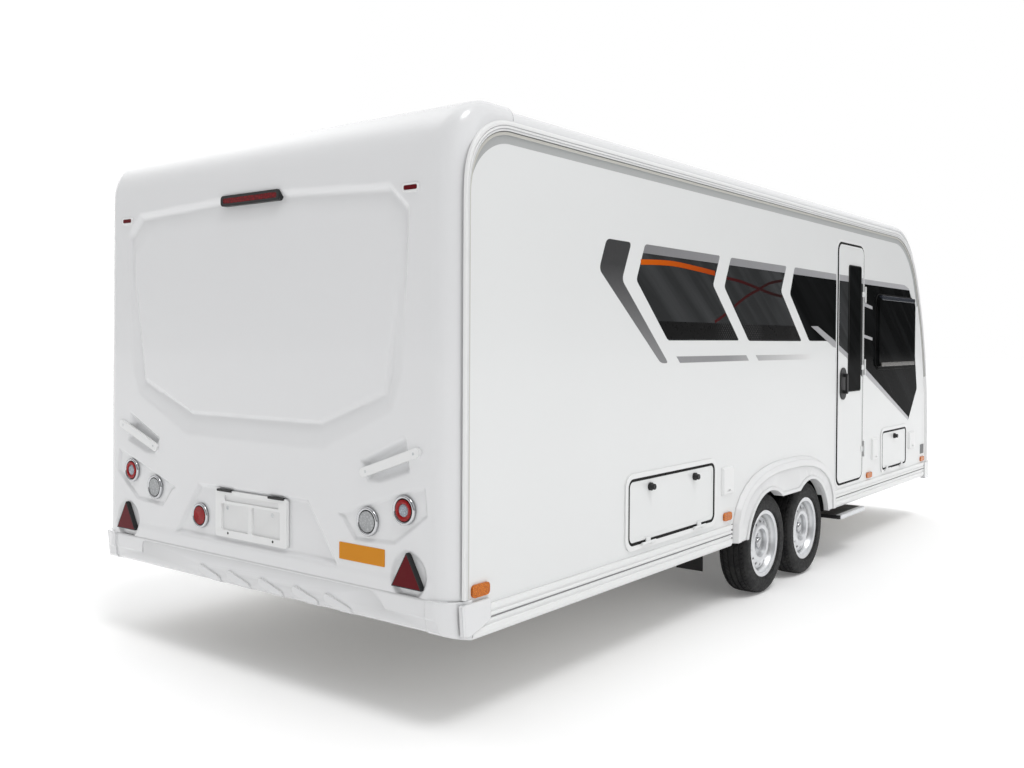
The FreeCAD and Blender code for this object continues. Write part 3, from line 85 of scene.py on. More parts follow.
class Finish(Shading):
    """A material for a surface."""

    def __init__(self, name, roughness, metallic=0.0, coat=0.0, specular=0.5):
        self.material = bpy.data.materials.new(name)
        super().__init__(self.material)
        self.surface = self.tree.nodes["Principled BSDF"]
        self.fill(self.surface, {"Roughness": roughness, "Metallic": metallic, "Coat Weight": coat,
                                 "Coat Roughness": 0.04, "Specular IOR Level": specular})
        self.place = self.node("ShaderNodeTexCoord").outputs["Object"]

    def noise(self, scale, detail=3.0, stretch=(1, 1, 1)):
        place = self.node("ShaderNodeMapping", {"Vector": self.place, "Scale": stretch}).outputs[0]
        values = {"Vector": place, "Scale": scale, "Detail": detail}
        return self.node("ShaderNodeTexNoise", values).outputs["Fac"]

    def cells(self, scale, feature="F1"):
        values = {"Vector": self.place, "Scale": scale}
        return self.node("ShaderNodeTexVoronoi", values, feature=feature).outputs["Distance"]

    def hollows(self, start, full, strength):
        """How much painted shade darkens the hollow corners."""
        bend = self.node("ShaderNodeNewGeometry").outputs["Pointiness"]
        return self.span(bend, start, full, 0.0, strength)

    def axis(self, letter):
        return self.node("ShaderNodeSeparateXYZ", {0: self.place}).outputs[letter]

    def mix(self, amount, first, second):
        first, second = [(*end, 1) if isinstance(end, tuple) else end for end in (first, second)]
        values = {"Factor": amount, 6: first, 7: second}
        return self.node("ShaderNodeMix", values, data_type="RGBA").outputs[2]

    def colour(self, amount, first, second):
        self.fill(self.surface, {"Base Color": self.mix(amount, first, second)})

    def rough(self, value, low, high):
        self.fill(self.surface, {"Roughness": self.span(value, 0.3, 0.7, low, high)})

    def worn(self, scale, low, high):
        self.rough(self.noise(scale), low, high)

    def relief(self, height, depth, soften=0.0):
        """Bumps of a depth in metres, and edges rounded to a radius."""
        values = {"Height": height, "Distance": depth, "Strength": 1.0}
        if soften:
            values["Normal"] = self.node("ShaderNodeBevel", {"Radius": soften}, samples=4).outputs[0]
        self.fill(self.surface, {"Normal": self.node("ShaderNodeBump", values).outputs[0]})


def shaded(colour, factor):
    return tuple(part * factor for part in colour)


def coated(name, colour, roughness, coat=0.0, grain=900.0, depth=0.00002, soften=0.0, specular=0.5,
           cloud=0.985, corner_shade=0.35):
    """Paint or moulded plastic: an even tint, a fine grain and painted shade in the corners."""
    finish = Finish(name, roughness, 0.0, coat, specular)
    even = finish.mix(finish.noise(1.7), colour, shaded(colour, cloud))
    # Painted shade: hollow corners darken toward a copy of the colour at 0.55 strength.
    finish.colour(finish.hollows(0.47, 0.40, corner_shade), even, shaded(colour, 0.55))
    finish.worn(6.0, roughness * 0.93, min(roughness * 1.07, 1.0))
    finish.relief(finish.noise(grain, 1.0), depth, soften)
    return finish


def galvanised():
    finish = Finish("galvanised", 0.45, 0.9)
    spangle = finish.cells(70.0)
    finish.colour(finish.span(spangle, 0.1, 0.7), (0.52, 0.54, 0.56), (0.70, 0.71, 0.72))
    finish.worn(40.0, 0.35, 0.6)
    finish.relief(spangle, 0.0002, 0.001)
    return finish


def rim_paint():
    """Silver lacquer, with painted shade darkening its hollow corners."""
    finish = Finish("rim_paint", 0.38, 0.8)
    silver = finish.mix(finish.noise(9.0), (0.72, 0.73, 0.75), (0.80, 0.81, 0.82))
    # Painted shade: hollow corners darken toward a dark grey.
    finish.colour(finish.hollows(0.49, 0.42, 0.7), silver, (0.20, 0.20, 0.20))
    finish.worn(5.0, 0.36, 0.42)
    return finish


def rubber():
    finish = Finish("rubber", 0.6, specular=0.3)
    dusty = finish.span(finish.noise(16.0, 5.0), 0.4, 0.7)
    finish.colour(dusty, (0.009, 0.009, 0.010), (0.022, 0.022, 0.021))
    finish.worn(60.0, 0.5, 0.75)
    finish.relief(finish.noise(500.0), 0.0002)
    return finish


def chrome():
    finish = Finish("chrome", 0.08, 1.0)
    finish.colour(finish.noise(25.0), (0.46, 0.47, 0.49), (0.60, 0.60, 0.61))
    finish.worn(90.0, 0.05, 0.16)
    finish.relief(finish.noise(300.0), 0.00002)
    return finish


def lens(name, bright, dark, facets=120.0):
    """Coloured plastic over a pressed prism pattern."""
    finish = Finish(name, 0.16, specular=0.3)
    prism = finish.cells(facets, "DISTANCE_TO_EDGE")
    finish.colour(finish.span(prism, 0.02, 0.25), dark, bright)
    finish.worn(80.0, 0.1, 0.22)
    finish.relief(prism, 0.0006)
    return finish


def gloss_black(name, tint, reflection_gain, roughness, specular):
    """Black acrylic or film with faint slanting painted reflections: lighter streaks in its colour."""
    finish = Finish(name, roughness, specular=specular)
    slant = finish.node("ShaderNodeMapping", {"Vector": finish.place, "Rotation": (0, -0.6, 0)})
    drawn = finish.node("ShaderNodeMapping", {"Vector": slant.outputs[0], "Scale": (0.4, 0.4, 8)})
    values = {"Vector": drawn.outputs[0], "Scale": 1.3, "Detail": 4.0}
    painted_reflections = finish.node("ShaderNodeTexNoise", values).outputs["Fac"]
    # Painted reflections: slanting bands lighten the tint by the reflection gain.
    finish.colour(finish.span(painted_reflections, 0.42, 0.68), tint, shaded(tint, reflection_gain))
    finish.worn(30.0, roughness, roughness * 1.5)
    return finish


def punched():
    """Black film with staggered rows of small grey dots that fade in and out."""
    finish = Finish("punched_film", 0.3, specular=0.03)
    values = {"Vector": finish.place, "Rotation": (0, math.pi / 4, 0), "Scale": (1, 0.001, 1)}
    slant = finish.node("ShaderNodeMapping", values).outputs[0]
    grid = finish.node("ShaderNodeTexVoronoi", {"Vector": slant, "Scale": 56.0, "Randomness": 0.0})
    dots = finish.span(grid.outputs["Distance"], 0.34, 0.26)
    fade = finish.span(finish.noise(1.6), 0.42, 0.56)
    grey = finish.mix(fade, (0.007, 0.007, 0.0075), (0.045, 0.045, 0.047))
    finish.colour(dots, (0.006, 0.006, 0.006), grey)
    finish.worn(50.0, 0.25, 0.4)
    return finish


def faded(name, dark, light, start, end, letter="X", metallic=0.25, specular=0.4):
    """Film that fades along or up the caravan between two places."""
    finish = Finish(name, 0.35, metallic, 0.0, specular)
    finish.colour(finish.span(finish.axis(letter), start, end), dark, light)
    finish.worn(40.0, 0.3, 0.45)
    return finish


def laminate():
    finish = Finish("wood_laminate", 0.45)
    grain = finish.noise(7.0, 6.0, (0.6, 0.6, 9.0))
    finish.colour(finish.span(grain, 0.35, 0.65), (0.42, 0.29, 0.17), (0.62, 0.47, 0.31))
    finish.rough(grain, 0.35, 0.55)
    finish.relief(grain, 0.0003, 0.002)
    return finish


def fabric():
    finish = Finish("seat_fabric", 0.9, specular=0.3)
    weave = finish.node("ShaderNodeTexWave", {"Vector": finish.place, "Scale": 260.0, "Distortion": 0.6},
                        bands_direction="DIAGONAL").outputs["Fac"]
    finish.colour(weave, (0.20, 0.19, 0.18), (0.33, 0.31, 0.29))
    finish.worn(12.0, 0.8, 1.0)
    finish.relief(weave, 0.0004)
    return finish


def dress(finish, *names):
    """Gives a finish to CAD nodes."""
    for name in names:
        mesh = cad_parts[name].data
        mesh.materials.clear()
        mesh.materials.append(finish.material)


def node_names(start):
    return [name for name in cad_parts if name.startswith(start)]


white_wall = coated("wall_paint", (0.79, 0.80, 0.80), 0.3, coat=0.1, corner_shade=0.0)
gelcoat = coated("gelcoat", (0.775, 0.78, 0.79), 0.24, coat=0.3)
gelcoat_edges = coated("gelcoat_edges", (0.775, 0.78, 0.79), 0.24, coat=0.3, soften=0.006)
arch_white = coated("arch_plastic", (0.80, 0.805, 0.81), 0.34, soften=0.012)
white_plastic = coated("white_plastic", (0.83, 0.835, 0.835), 0.34, soften=0.003)
white_trim = coated("trim_paint", (0.84, 0.845, 0.845), 0.32)
milk = coated("milky_acrylic", (0.74, 0.75, 0.75), 0.2, coat=0.4, soften=0.006)
black_plastic = coated("black_plastic", (0.018, 0.018, 0.019), 0.45, depth=0.00006, soften=0.002,
                       specular=0.35, cloud=0.8)
black_steel = coated("black_steel", (0.03, 0.03, 0.032), 0.4, grain=300.0, depth=0.0001, soften=0.002)
seal_rubber = coated("seal_rubber", (0.012, 0.012, 0.012), 0.7, specular=0.2, cloud=0.8)
board = coated("painted_board", (0.52, 0.50, 0.46), 0.6, grain=200.0, depth=0.0002)
steel = galvanised()
silver = rim_paint()
tyre_rubber = rubber()
bright_chrome = chrome()
red_lens = lens("red_lens", (0.40, 0.001, 0.003), (0.21, 0.001, 0.002))
dark_red_lens = lens("dark_red_lens", (0.20, 0.002, 0.006), (0.09, 0.001, 0.003), 60.0)
triangle_red = coated("maroon_plastic", (0.125, 0.002, 0.006), 0.3, specular=0.12, cloud=0.8)
amber_lens = lens("amber_lens", (0.70, 0.20, 0.004), (0.42, 0.09, 0.002))
clear_lens = lens("clear_lens", (0.52, 0.53, 0.54), (0.38, 0.39, 0.40), 75.0)
blue_lens = lens("blue_grey_lens", (0.44, 0.49, 0.55), (0.24, 0.27, 0.31), 90.0)
film = gloss_black("black_film", (0.028, 0.029, 0.030), 1.8, 0.16, 0.02)
glass = gloss_black("smoked_acrylic", (0.0055, 0.0058, 0.006), 2.0, 0.08, 0.004)
dots = punched()
silver_fade = faded("silver_fade", (0.24, 0.24, 0.25), (0.50, 0.50, 0.52), -1.9, 2.4)
grey_fade = faded("grey_fade", (0.30, 0.30, 0.31), (0.78, 0.78, 0.78), -0.9, 0.35)
charcoal_fade = faded("charcoal_fade", (0.26, 0.26, 0.265), (0.045, 0.045, 0.047), 1.46, 1.95, "Z")
orange_fade = faded("orange_fade", (0.56, 0.105, 0.005), (0.34, 0.045, 0.006), -1.9, -1.05, metallic=0.0,
                    specular=0.02)
maroon = faded("maroon_fade", (0.055, 0.006, 0.007), (0.014, 0.004, 0.004), -1.0, -0.1, metallic=0.0,
               specular=0.02)
wood = laminate()
cloth = fabric()
grey_bead = coated("grey_bead", (0.74, 0.745, 0.75), 0.35)
# Painted shadow: a grey band for the rail's shadow on the wall under its top run.
painted_rail_shadow = coated("rail_shadow_paint", (0.42, 0.43, 0.43), 0.5)
cream_strip = coated("cream_strip", (0.56, 0.55, 0.51), 0.4)
rail_line = coated("rail_joint", (0.24, 0.24, 0.245), 0.6)
faint_line = coated("faint_joint", (0.60, 0.60, 0.61), 0.5)
dark_line = coated("dark_joint", (0.16, 0.16, 0.165), 0.6)
yellow = coated("yellow_film", (0.66, 0.25, 0.006), 0.45, specular=0.2)
grey_plate = coated("grey_plate", (0.11, 0.112, 0.115), 0.4)
hinge_black = coated("hinge_rail", (0.024, 0.028, 0.038), 0.2, soften=0.01, specular=0.3)
catch_grey = coated("catch_rail", (0.075, 0.07, 0.064), 0.25, soften=0.01)

dress(white_plastic, *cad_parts)
dress(white_wall, "side_wall_right", "side_wall_left", "entrance_door", "locker_door_rear",
      "locker_door_front", "service_door_left")
dress(gelcoat, "roof_panel", "rear_panel", "front_panel")
dress(gelcoat_edges, "gas_locker_lid", "rear_bumper", "front_skirt")
dress(arch_white, "arch_trims")
dress(white_trim, "edge_rails", "sills", "door_hinges", "lid_hinges")
dress(milk, "roof_lights")
dress(glass, "side_windows", "front_window", "door_pane")
dress(black_plastic, "wheel_boxes", "door_handle", "step_guides")
dress(black_steel, "axle_front", "axle_rear", "overrun_device", "coupling_head", "handbrake_lever",
      "entry_step")
dress(steel, *node_names("chassis_"), "corner_steadies", "jockey_tube", "jockey_fork")
dress(tyre_rubber, "jockey_wheel", *node_names("tyre_"))
dress(silver, *node_names("rim_"))
dress(triangle_red, "reflectors")
dress(dark_red_lens, "brake_light")
dress(amber_lens, "side_markers")
dress(bright_chrome, "lamp_housings")
dress(clear_lens, "lamp_lenses")
dress(wood, "furniture")
dress(board, "floor_panel", "gas_locker_bulkhead")


# Meshes

def added(name, data):
    item = bpy.data.objects.new(name, data)
    bpy.context.scene.collection.objects.link(item)
    return item


def piece(name, vertices, faces, finish, body="caravan", smooth=False):
    """A new piece that rides on a body; it may have several finishes."""
    mesh = bpy.data.meshes.new(name)
    mesh.from_pydata([tuple(map(float, vertex)) for vertex in vertices], [], faces)
    for entry in finish if isinstance(finish, list) else [finish]:
        mesh.materials.append(entry.material)
    mesh.update()
    if smooth:
        mesh.shade_smooth()
    item = added(name, mesh)
    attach(item, body)
    return item


def wrapped_faces(loops, count):
    """Faces between closed loops of as many points; the last loop meets the first."""
    faces = []
    for loop in range(loops):
        start, after = loop * count, (loop + 1) % loops * count
        for i in range(count):
            step = (i + 1) % count
            faces.append((start + i, start + step, after + step, after + i))
    return faces


def sheet_faces(rows, count, start=0):
    """Faces between open rows of as many points."""
    corners = [start + row * count + i for row in range(rows - 1) for i in range(count - 1)]
    return [(corner, corner + count, corner + count + 1, corner + 1) for corner in corners]


def point_on(axis, a, b, along):
    return {"x": (along, a, b), "y": (a, along, b), "z": (a, b, along)}[axis]


def facing_out(faces, outline, axis):
    """The faces of a piece made from an outline, turned so that they face outwards."""
    area = sum(a[0] * b[1] - b[0] * a[1] for a, b in zip(outline, outline[1:] + outline[:1]))
    return [face[::-1] for face in faces] if (area > 0) == (axis == "y") else faces


def plate(name, outline, axis, near, far, finish, body="caravan"):
    """A flat piece with an outline across an axis, between two distances along it."""
    count = len(outline)
    vertices = [point_on(axis, a, b, along) for along in sorted((near, far)) for a, b in outline]
    faces = [(i, (i + 1) % count, count + (i + 1) % count, count + i) for i in range(count)]
    faces = [tuple(range(count))[::-1], tuple(range(count, 2 * count))] + faces
    return piece(name, vertices, facing_out(faces, outline, axis), finish, body)


def ring(name, outer, inner, axis, near, far, finish, body="caravan", slot=None):
    """A flat frame between two outlines of as many points."""
    near, far = sorted((near, far))
    loops = [(outer, near), (outer, far), (inner, far), (inner, near)]
    vertices = [point_on(axis, a, b, along) for outline, along in loops for a, b in outline]
    faces = facing_out(wrapped_faces(len(loops), len(outer)), outer, axis)
    return piece(name, vertices, faces, finish, body)


def arc(x, z, radius, start, end, steps):
    """Points on an arc between two angles in degrees, each with its outward direction."""
    turns = [math.radians(start + (end - start) * step / steps) for step in range(steps + 1)]
    return [(x + radius * math.cos(turn), z + radius * math.sin(turn), math.cos(turn), math.sin(turn))
            for turn in turns]


def rectangle(x0, x1, z0, z1):
    return [(x0, z0), (x1, z0), (x1, z1), (x0, z1)]


def rounded_box(box, radius, margin=0.0):
    """A rectangle with round corners, grown by a margin all round."""
    x0, x1, z0, z1 = box
    inset = radius - margin
    outline = []
    centres = ((x1 - inset, z1 - inset), (x0 + inset, z1 - inset), (x0 + inset, z0 + inset),
               (x1 - inset, z0 + inset))
    for quarter, (x, z) in enumerate(centres):
        corner = arc(x, z, radius, 90 * quarter, 90 * (quarter + 1), 6)
        outline += [point[:2] for point in corner]
    return outline


def softened(points, radius, steps=5):
    """An outline with its corners rounded."""
    outline = []
    count = len(points)
    for i in range(count):
        corner = Vector(points[i])
        arms = [Vector(points[i - 1]) - corner, Vector(points[(i + 1) % count]) - corner]
        ends = [corner + arm.normalized() * min(radius, arm.length * 0.4) for arm in arms]
        for step in range(steps + 1):
            t = step / steps
            outline.append(tuple(ends[0] * (1 - t) ** 2 + corner * 2 * t * (1 - t) + ends[1] * t ** 2))
    return outline


def lathe(name, profile, centre, axis, finish, body="caravan", segments=48, sign=1):
    """A closed profile of radius and distance along, turned round an axis."""
    vertices = []
    for step in range(segments):
        turn = 2 * math.pi * step / segments
        for radius, along in profile:
            place = point_on(axis, radius * math.cos(turn), radius * math.sin(turn), along * sign)
            vertices.append([start + offset for start, offset in zip(centre, place)])
    faces = wrapped_faces(segments, len(profile))
    item = piece(name, vertices, faces, finish, body, smooth=True)
    tidy_mesh(item.data)
    return item


def tidy_mesh(mesh):
    """Joins points that coincide and turns every face outwards."""
    near = 0.00001
    work = bmesh.new()
    work.from_mesh(mesh)
    bmesh.ops.remove_doubles(work, verts=work.verts, dist=near)
    bmesh.ops.dissolve_degenerate(work, edges=work.edges, dist=near)
    bmesh.ops.recalc_face_normals(work, faces=work.faces)
    work.to_mesh(mesh)
    work.free()


def sharpen(item, degrees):
    """Smooth faces with sharp edges where they turn by more than an angle."""
    item.data.shade_smooth()
    item.data.set_sharp_from_angle(angle=math.radians(degrees))


# Moulded rear: one skin with soft relief, round corners and the roof's turn

MOULDING_TOP = 2.562
BUMPER_TOP = 0.543
SEAM = REAR + 0.373
ROOF_TURN = 0.254

# Radius of the upright corners at the foot, below the roof and at the roof
CORNER_LOW = 0.110
CORNER_HIGH = 0.130
CORNER_ROOF = 0.060


def inward(points, grid_y, grid_z):
    """The distance inside a closed outline, and below zero outside it."""
    distance = np.full(grid_y.shape, 1e9)
    inside = np.zeros(grid_y.shape, bool)
    for (ay, az), (by, bz) in zip(points, points[1:] + points[:1]):
        ey, ez = by - ay, bz - az
        share = np.clip(((grid_y - ay) * ey + (grid_z - az) * ez) / (ey * ey + ez * ez), 0, 1)
        distance = np.minimum(distance, np.hypot(grid_y - ay - share * ey, grid_z - az - share * ez))
        crosses = (az > grid_z) != (bz > grid_z)
        if ez:
            inside ^= crosses & (grid_y < (grid_z - az) / ez * ey + ay)
    return np.where(inside, distance, -distance)


def smooth_step(value):
    value = np.clip(value, 0, 1)
    return value * value * (3 - 2 * value)


def mirrored(points):
    return points + [(-y, z) for y, z in points[::-1]]


OUTER_RECESS = mirrored([(0.30, 2.246), (0.905, 2.219), (1.015, 2.118), (1.0, 1.80), (0.985, 1.45),
                         (0.925, 1.285), (0.50, 1.088)])
INNER_RECESS = mirrored([(0.30, 2.118), (0.83, 2.092), (0.945, 2.0), (0.925, 1.72), (0.868, 1.37),
                         (0.47, 1.222)])
SCOOP = [(0.725, 1.075), (1.0, 1.198), (1.025, 1.04), (0.85, 0.985), (0.775, 0.985)]
POD = [(0.585, 0.832), (1.105, 0.995), (1.118, 0.87), (0.935, 0.738), (0.70, 0.725), (0.625, 0.812)]
POCKET = [(0.605, 0.60), (0.402, 0.874), (-0.402, 0.874), (-0.605, 0.60)]

# Depth of each hollow in the face, and the width of its slope
SCOOP_RELIEF = (0.026, 0.035)
POD_RELIEF = (0.010, 0.012)
DISH_RELIEF = (0.010, 0.014)
POCKET_RELIEF = (0.016, 0.022)
RECESS_DEPTH = 0.019
DISH_RADIUS = 0.1
FOOT_SWELL = 0.006


def rear_relief(y, z):
    """How far the face lies behind or before the flat, in metres."""
    outer = inward(OUTER_RECESS, y, z)
    inner = inward(INNER_RECESS, y, z)
    between = outer / np.maximum(outer - inner, 1e-6)
    upper = smooth_step((z - 1.5) / 0.5)
    steep_top = smooth_step(outer / 0.024) * (1 - 0.75 * smooth_step(between))
    steep_base = smooth_step(between * 1.05) * (1 - 0.6 * smooth_step(1 + inner / 0.014))
    depth = RECESS_DEPTH * np.where(outer > 0, upper * steep_top + (1 - upper) * steep_base, 0)
    side_y = np.abs(y)
    dish = DISH_RADIUS - np.hypot(side_y - REFLECTOR_Y, z - REFLECTOR_Z)
    hollows = ((inward(SCOOP, side_y, z), SCOOP_RELIEF), (inward(POD, side_y, z), POD_RELIEF),
               (dish, DISH_RELIEF), (inward(POCKET, y, z), POCKET_RELIEF))
    for inside, (full, slope) in hollows:
        depth += full * smooth_step(inside / slope)
    beside_dish = 1 - smooth_step(dish / DISH_RELIEF[1])
    return depth - FOOT_SWELL * smooth_step((0.628 - z) / 0.05) * beside_dish


def rear_moulding():
    """Rows run up the face and over to the roof; columns run from side to side."""
    turn_z = MOULDING_TOP - ROOF_TURN
    rows = []
    for z in np.concatenate((np.arange(BUMPER_TOP, 1.30, 0.007), np.arange(1.30, turn_z, 0.013))):
        share = (z - BUMPER_TOP) / (turn_z - BUMPER_TOP)
        rows.append((REAR, z, -1.0, 0.0, CORNER_LOW + (CORNER_HIGH - CORNER_LOW) * share))
    steps = 24
    for step, point in enumerate(arc(REAR + ROOF_TURN, turn_z, ROOF_TURN, 180, 90, steps)):
        rows.append((*point, CORNER_HIGH - (CORNER_HIGH - CORNER_ROOF) * smooth_step(step / steps)))
    for x in np.linspace(REAR + ROOF_TURN + 0.02, SEAM, 5):
        rows.append((x, MOULDING_TOP, 0.0, 1.0, CORNER_ROOF))
    flat = np.linspace(-1, 1, 321)[1:-1]
    vertices = []
    for x, z, normal_x, normal_z, radius in rows:
        side_depth = 0.078 + 0.03 * (radius < 0.1)
        edge = [(-SIDE, max(side_depth, radius))]
        edge += [point[:2] for point in arc(radius - SIDE, radius, radius, 180, 270, 14)]
        edge = [pair for pair in edge if pair[1] <= side_depth + 0.03]
        edge = [edge[0]] * (16 - len(edge)) + edge
        middle = flat * (SIDE - radius)
        relief = rear_relief(middle, np.full(middle.shape, z)) if normal_z == 0 else middle * 0
        across = edge + list(zip(middle, relief)) + [(-y, depth) for y, depth in edge[::-1]]
        vertices += [(x - normal_x * depth, y, z - normal_z * depth) for y, depth in across]
    faces = sheet_faces(len(rows), len(vertices) // len(rows))
    item = piece("rear_moulding", vertices, faces, gelcoat, smooth=True)
    tidy_mesh(item.data)
    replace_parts(item, "rear_panel")
    plate("rear_lining", rounded_box((-1.2, 1.2, 0.55, 2.41), 0.1), "x", REAR + 0.04, REAR + 0.045, board)
    plate("roof_joint", rectangle(-1.19, 1.19, MOULDING_TOP - 0.012, MOULDING_TOP - 0.001), "x",
          SEAM - 0.004, SEAM - 0.0005, dark_line)


# Edge rail: coloured beads swept round the side wall

ROOF_START = -2.9


def wall_path():
    """Points on the side wall's outline from the rear foot to the front, with outward directions."""
    foot, top = 0.548, 2.41
    turn_x, turn_radius = -2.98, 0.255
    sweep_x, sweep_z, sweep, bend = 0.4, 0.75, 2.71, 0.62
    bend_z = top - bend
    bend_x = sweep_x + math.sqrt((sweep - bend) ** 2 - (bend_z - sweep_z) ** 2)
    meet = math.degrees(math.atan2(bend_z - sweep_z, bend_x - sweep_x))
    path = [(turn_x - turn_radius, z, -1.0, 0.0) for z in np.linspace(foot, top - turn_radius, 30)]
    path += arc(turn_x, top - turn_radius, turn_radius, 180, 90, 24)[1:]
    path += [(x, top, 0.0, 1.0) for x in np.linspace(ROOF_START, bend_x - 0.05, 60)]
    path += arc(bend_x, bend_z, bend, 90, meet, 24)
    path += arc(sweep_x, sweep_z, sweep, meet, 0, 30)[1:]
    path += [(sweep_x + sweep, z, 1.0, 0.0) for z in (0.62, 0.504)]
    return path


# Share of the rail's width, height over the wall in millimetres, and the band's finish; band 0 is a
# painted shadow, and below zero share it reaches onto the wall
RAIL_SECTION = [
    (-0.20, 0.3, 0), (0.24, 0.5, 0), (0.245, 5.5, 1), (0.40, 6.5, 1), (0.405, 3.0, 2),
    (0.44, 3.0, 2), (0.445, 9.5, 3), (0.49, 11.5, 3), (0.53, 11.0, 3), (0.55, 8.0, 5),
    (0.57, 8.0, 5), (0.59, 12.0, 4), (0.64, 13.0, 4), (0.69, 12.0, 4), (0.71, 8.0, 5),
    (0.73, 8.0, 5), (0.75, 12.5, 4), (0.82, 13.8, 4), (0.90, 13.0, 4), (0.97, 9.0, 4),
    (1.0, 0.0, 4),
]
RAIL_FINISHES = [painted_rail_shadow, cream_strip, rail_line, grey_bead, white_trim, faint_line]
WHITE_BAND = 4


def edge_rail(name, side):
    """The rail narrows down the rear corner, where its painted shadow band ends."""
    path = wall_path()
    vertices = []
    for x, z, out_x, out_z in path:
        lift = smooth_step((z - 2.16) / 0.25) if x < ROOF_START else 1.0
        width = 0.038 + 0.042 * lift
        hidden = 0.24 * (1 - lift)
        for share, height, _ in RAIL_SECTION:
            reach = width * (share * lift if share < 0 else max(0.0, share - hidden) / (1 - hidden))
            vertices.append((x + out_x * reach, side * (SIDE + height / 1000), z + out_z * reach))
    rows = len(RAIL_SECTION)
    faces = [face[::-1] if side > 0 else face for face in sheet_faces(len(path), rows)]
    item = piece(name, vertices, faces, RAIL_FINISHES, smooth=True)
    for number, polygon in enumerate(item.data.polygons):
        step, row = divmod(number, rows - 1)
        # Near the front upright every band turns white, the painted shadow band a little sooner.
        white = path[step][2] > (0.9 if row == 0 else 0.98)
        polygon.material_index = WHITE_BAND if white else RAIL_SECTION[row][2]
    sharpen(item, 50)
    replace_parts(item, "edge_rails")


def edge_rails():
    for name, side in SIDES.items():
        edge_rail("edge_rail_" + name, side)


# Livery on the walls and the door: places along and up the wall

PANEL_REAR = [(-2.222, 2.067), (-1.994, 2.066), (-2.081, 1.877), (-1.610, 1.462), (-1.692, 1.464),
              (-2.287, 1.917)]
PANEL_A = [(-1.860, 2.068), (-1.014, 2.068), (-1.099, 1.896), (-0.754, 1.584), (-1.617, 1.582),
           (-1.944, 1.883)]
PANEL_B = [(-0.872, 2.067), (-0.051, 2.067), (-0.134, 1.900), (0.215, 1.582), (-0.616, 1.582),
           (-0.955, 1.892)]
PANEL_C = [(0.086, 2.068), (0.861, 2.066), (0.861, 1.546), (0.686, 1.584), (0.355, 1.584),
           (0.012, 1.889)]
DOOR_REAR = [(0.897, 2.066), (1.107, 2.066), (1.107, 1.448), (0.897, 1.560)]
DOOR_FRONT = [(1.371, 2.064), (1.438, 2.064), (1.438, 1.300), (1.371, 1.340)]
PANEL_D = [(1.459, 2.060), (2.482, 2.062), (2.619, 2.035), (2.707, 1.923), (2.878, 1.172),
           (2.635, 0.909), (1.459, 1.352)]
BAND_LOW = 2.022
DOTS_LOW = 1.59
DOTS_HIGH = 1.682
ORANGE_LINE = [(-1.903, 1.975), (-1.703, 1.985), (-1.531, 1.987), (-1.306, 1.977), (-1.078, 1.964)]
RED_LINES = [
    [(-0.929, 1.945), (-0.736, 1.934), (-0.481, 1.904), (-0.319, 1.883), (-0.122, 1.868)],
    [(-1.073, 1.689), (-1.01, 1.709), (-0.935, 1.737)],
    [(-0.82, 1.784), (-0.66, 1.846), (-0.481, 1.897), (-0.32, 1.943), (-0.118, 1.970)],
]
DOOR_STRIP = [(0.897, 1.560), (1.107, 1.490), (1.107, 1.452), (0.897, 1.520)]
SILVER_STRIPS = [
    [(0.382, 1.684), (0.504, 1.686), (0.818, 1.594), (0.861, 1.578), (0.861, 1.536),
     (0.819, 1.540)],
    [(1.459, 1.395), (2.635, 0.935), (2.635, 0.905), (1.459, 1.345)],
    [(1.462, 1.882), (1.659, 1.856), (1.66, 1.832), (1.462, 1.853)],
    [(1.464, 1.636), (1.668, 1.612), (1.668, 1.590), (1.464, 1.612)],
]
GREY_STRIPS = [
    [(-1.523, 1.497), (-0.652, 1.496), (-0.611, 1.463), (-1.482, 1.462)],
    [(-0.516, 1.495), (0.358, 1.493), (0.378, 1.459), (-0.471, 1.461)],
]

# How far each kind of film stands off the wall, so that crossing films stay apart
BLACK_LIFT = 0.0004
GREY_LIFT = 0.0005
BAND_LIFT = 0.0006
DOTS_LIFT = 0.0007
LOW_LINE_LIFT = 0.0008
LINE_LIFT = 0.0009
STRIP_LIFT = 0.0010

UPPER = 1
LOWER = -1


def part_of(points, height, half):
    """The upper or the lower part of an outline that is cut at a height."""
    outline = []
    for first, second in zip(points, points[1:] + points[:1]):
        a, b = half * (first[1] - height), half * (second[1] - height)
        if a > 0:
            outline.append(first)
        if (a > 0) != (b > 0):
            share = a / (a - b)
            outline.append(tuple(p + (q - p) * share for p, q in zip(first, second)))
    return outline


def swept_strip(line, width):
    """A band of even width along a smooth line."""
    points = [Vector(point) for point in (line[0], *line, line[-1])]
    dense = []
    for p, q, r, s in zip(points, points[1:], points[2:], points[3:]):
        for step in range(8):
            t = step / 8
            dense.append(0.5 * (2 * q + (r - p) * t + (2 * p - 5 * q + 4 * r - s) * t ** 2
                                + (3 * q - p - 3 * r + s) * t ** 3))
    dense.append(points[-1])
    upper, lower = [], []
    for i, point in enumerate(dense):
        heading = (dense[min(i + 1, len(dense) - 1)] - dense[max(i - 1, 0)]).normalized()
        across = Vector((-heading.y, heading.x)) * width / 2
        upper.append(tuple(point + across))
        lower.append(tuple(point - across))
    return upper + lower[::-1]


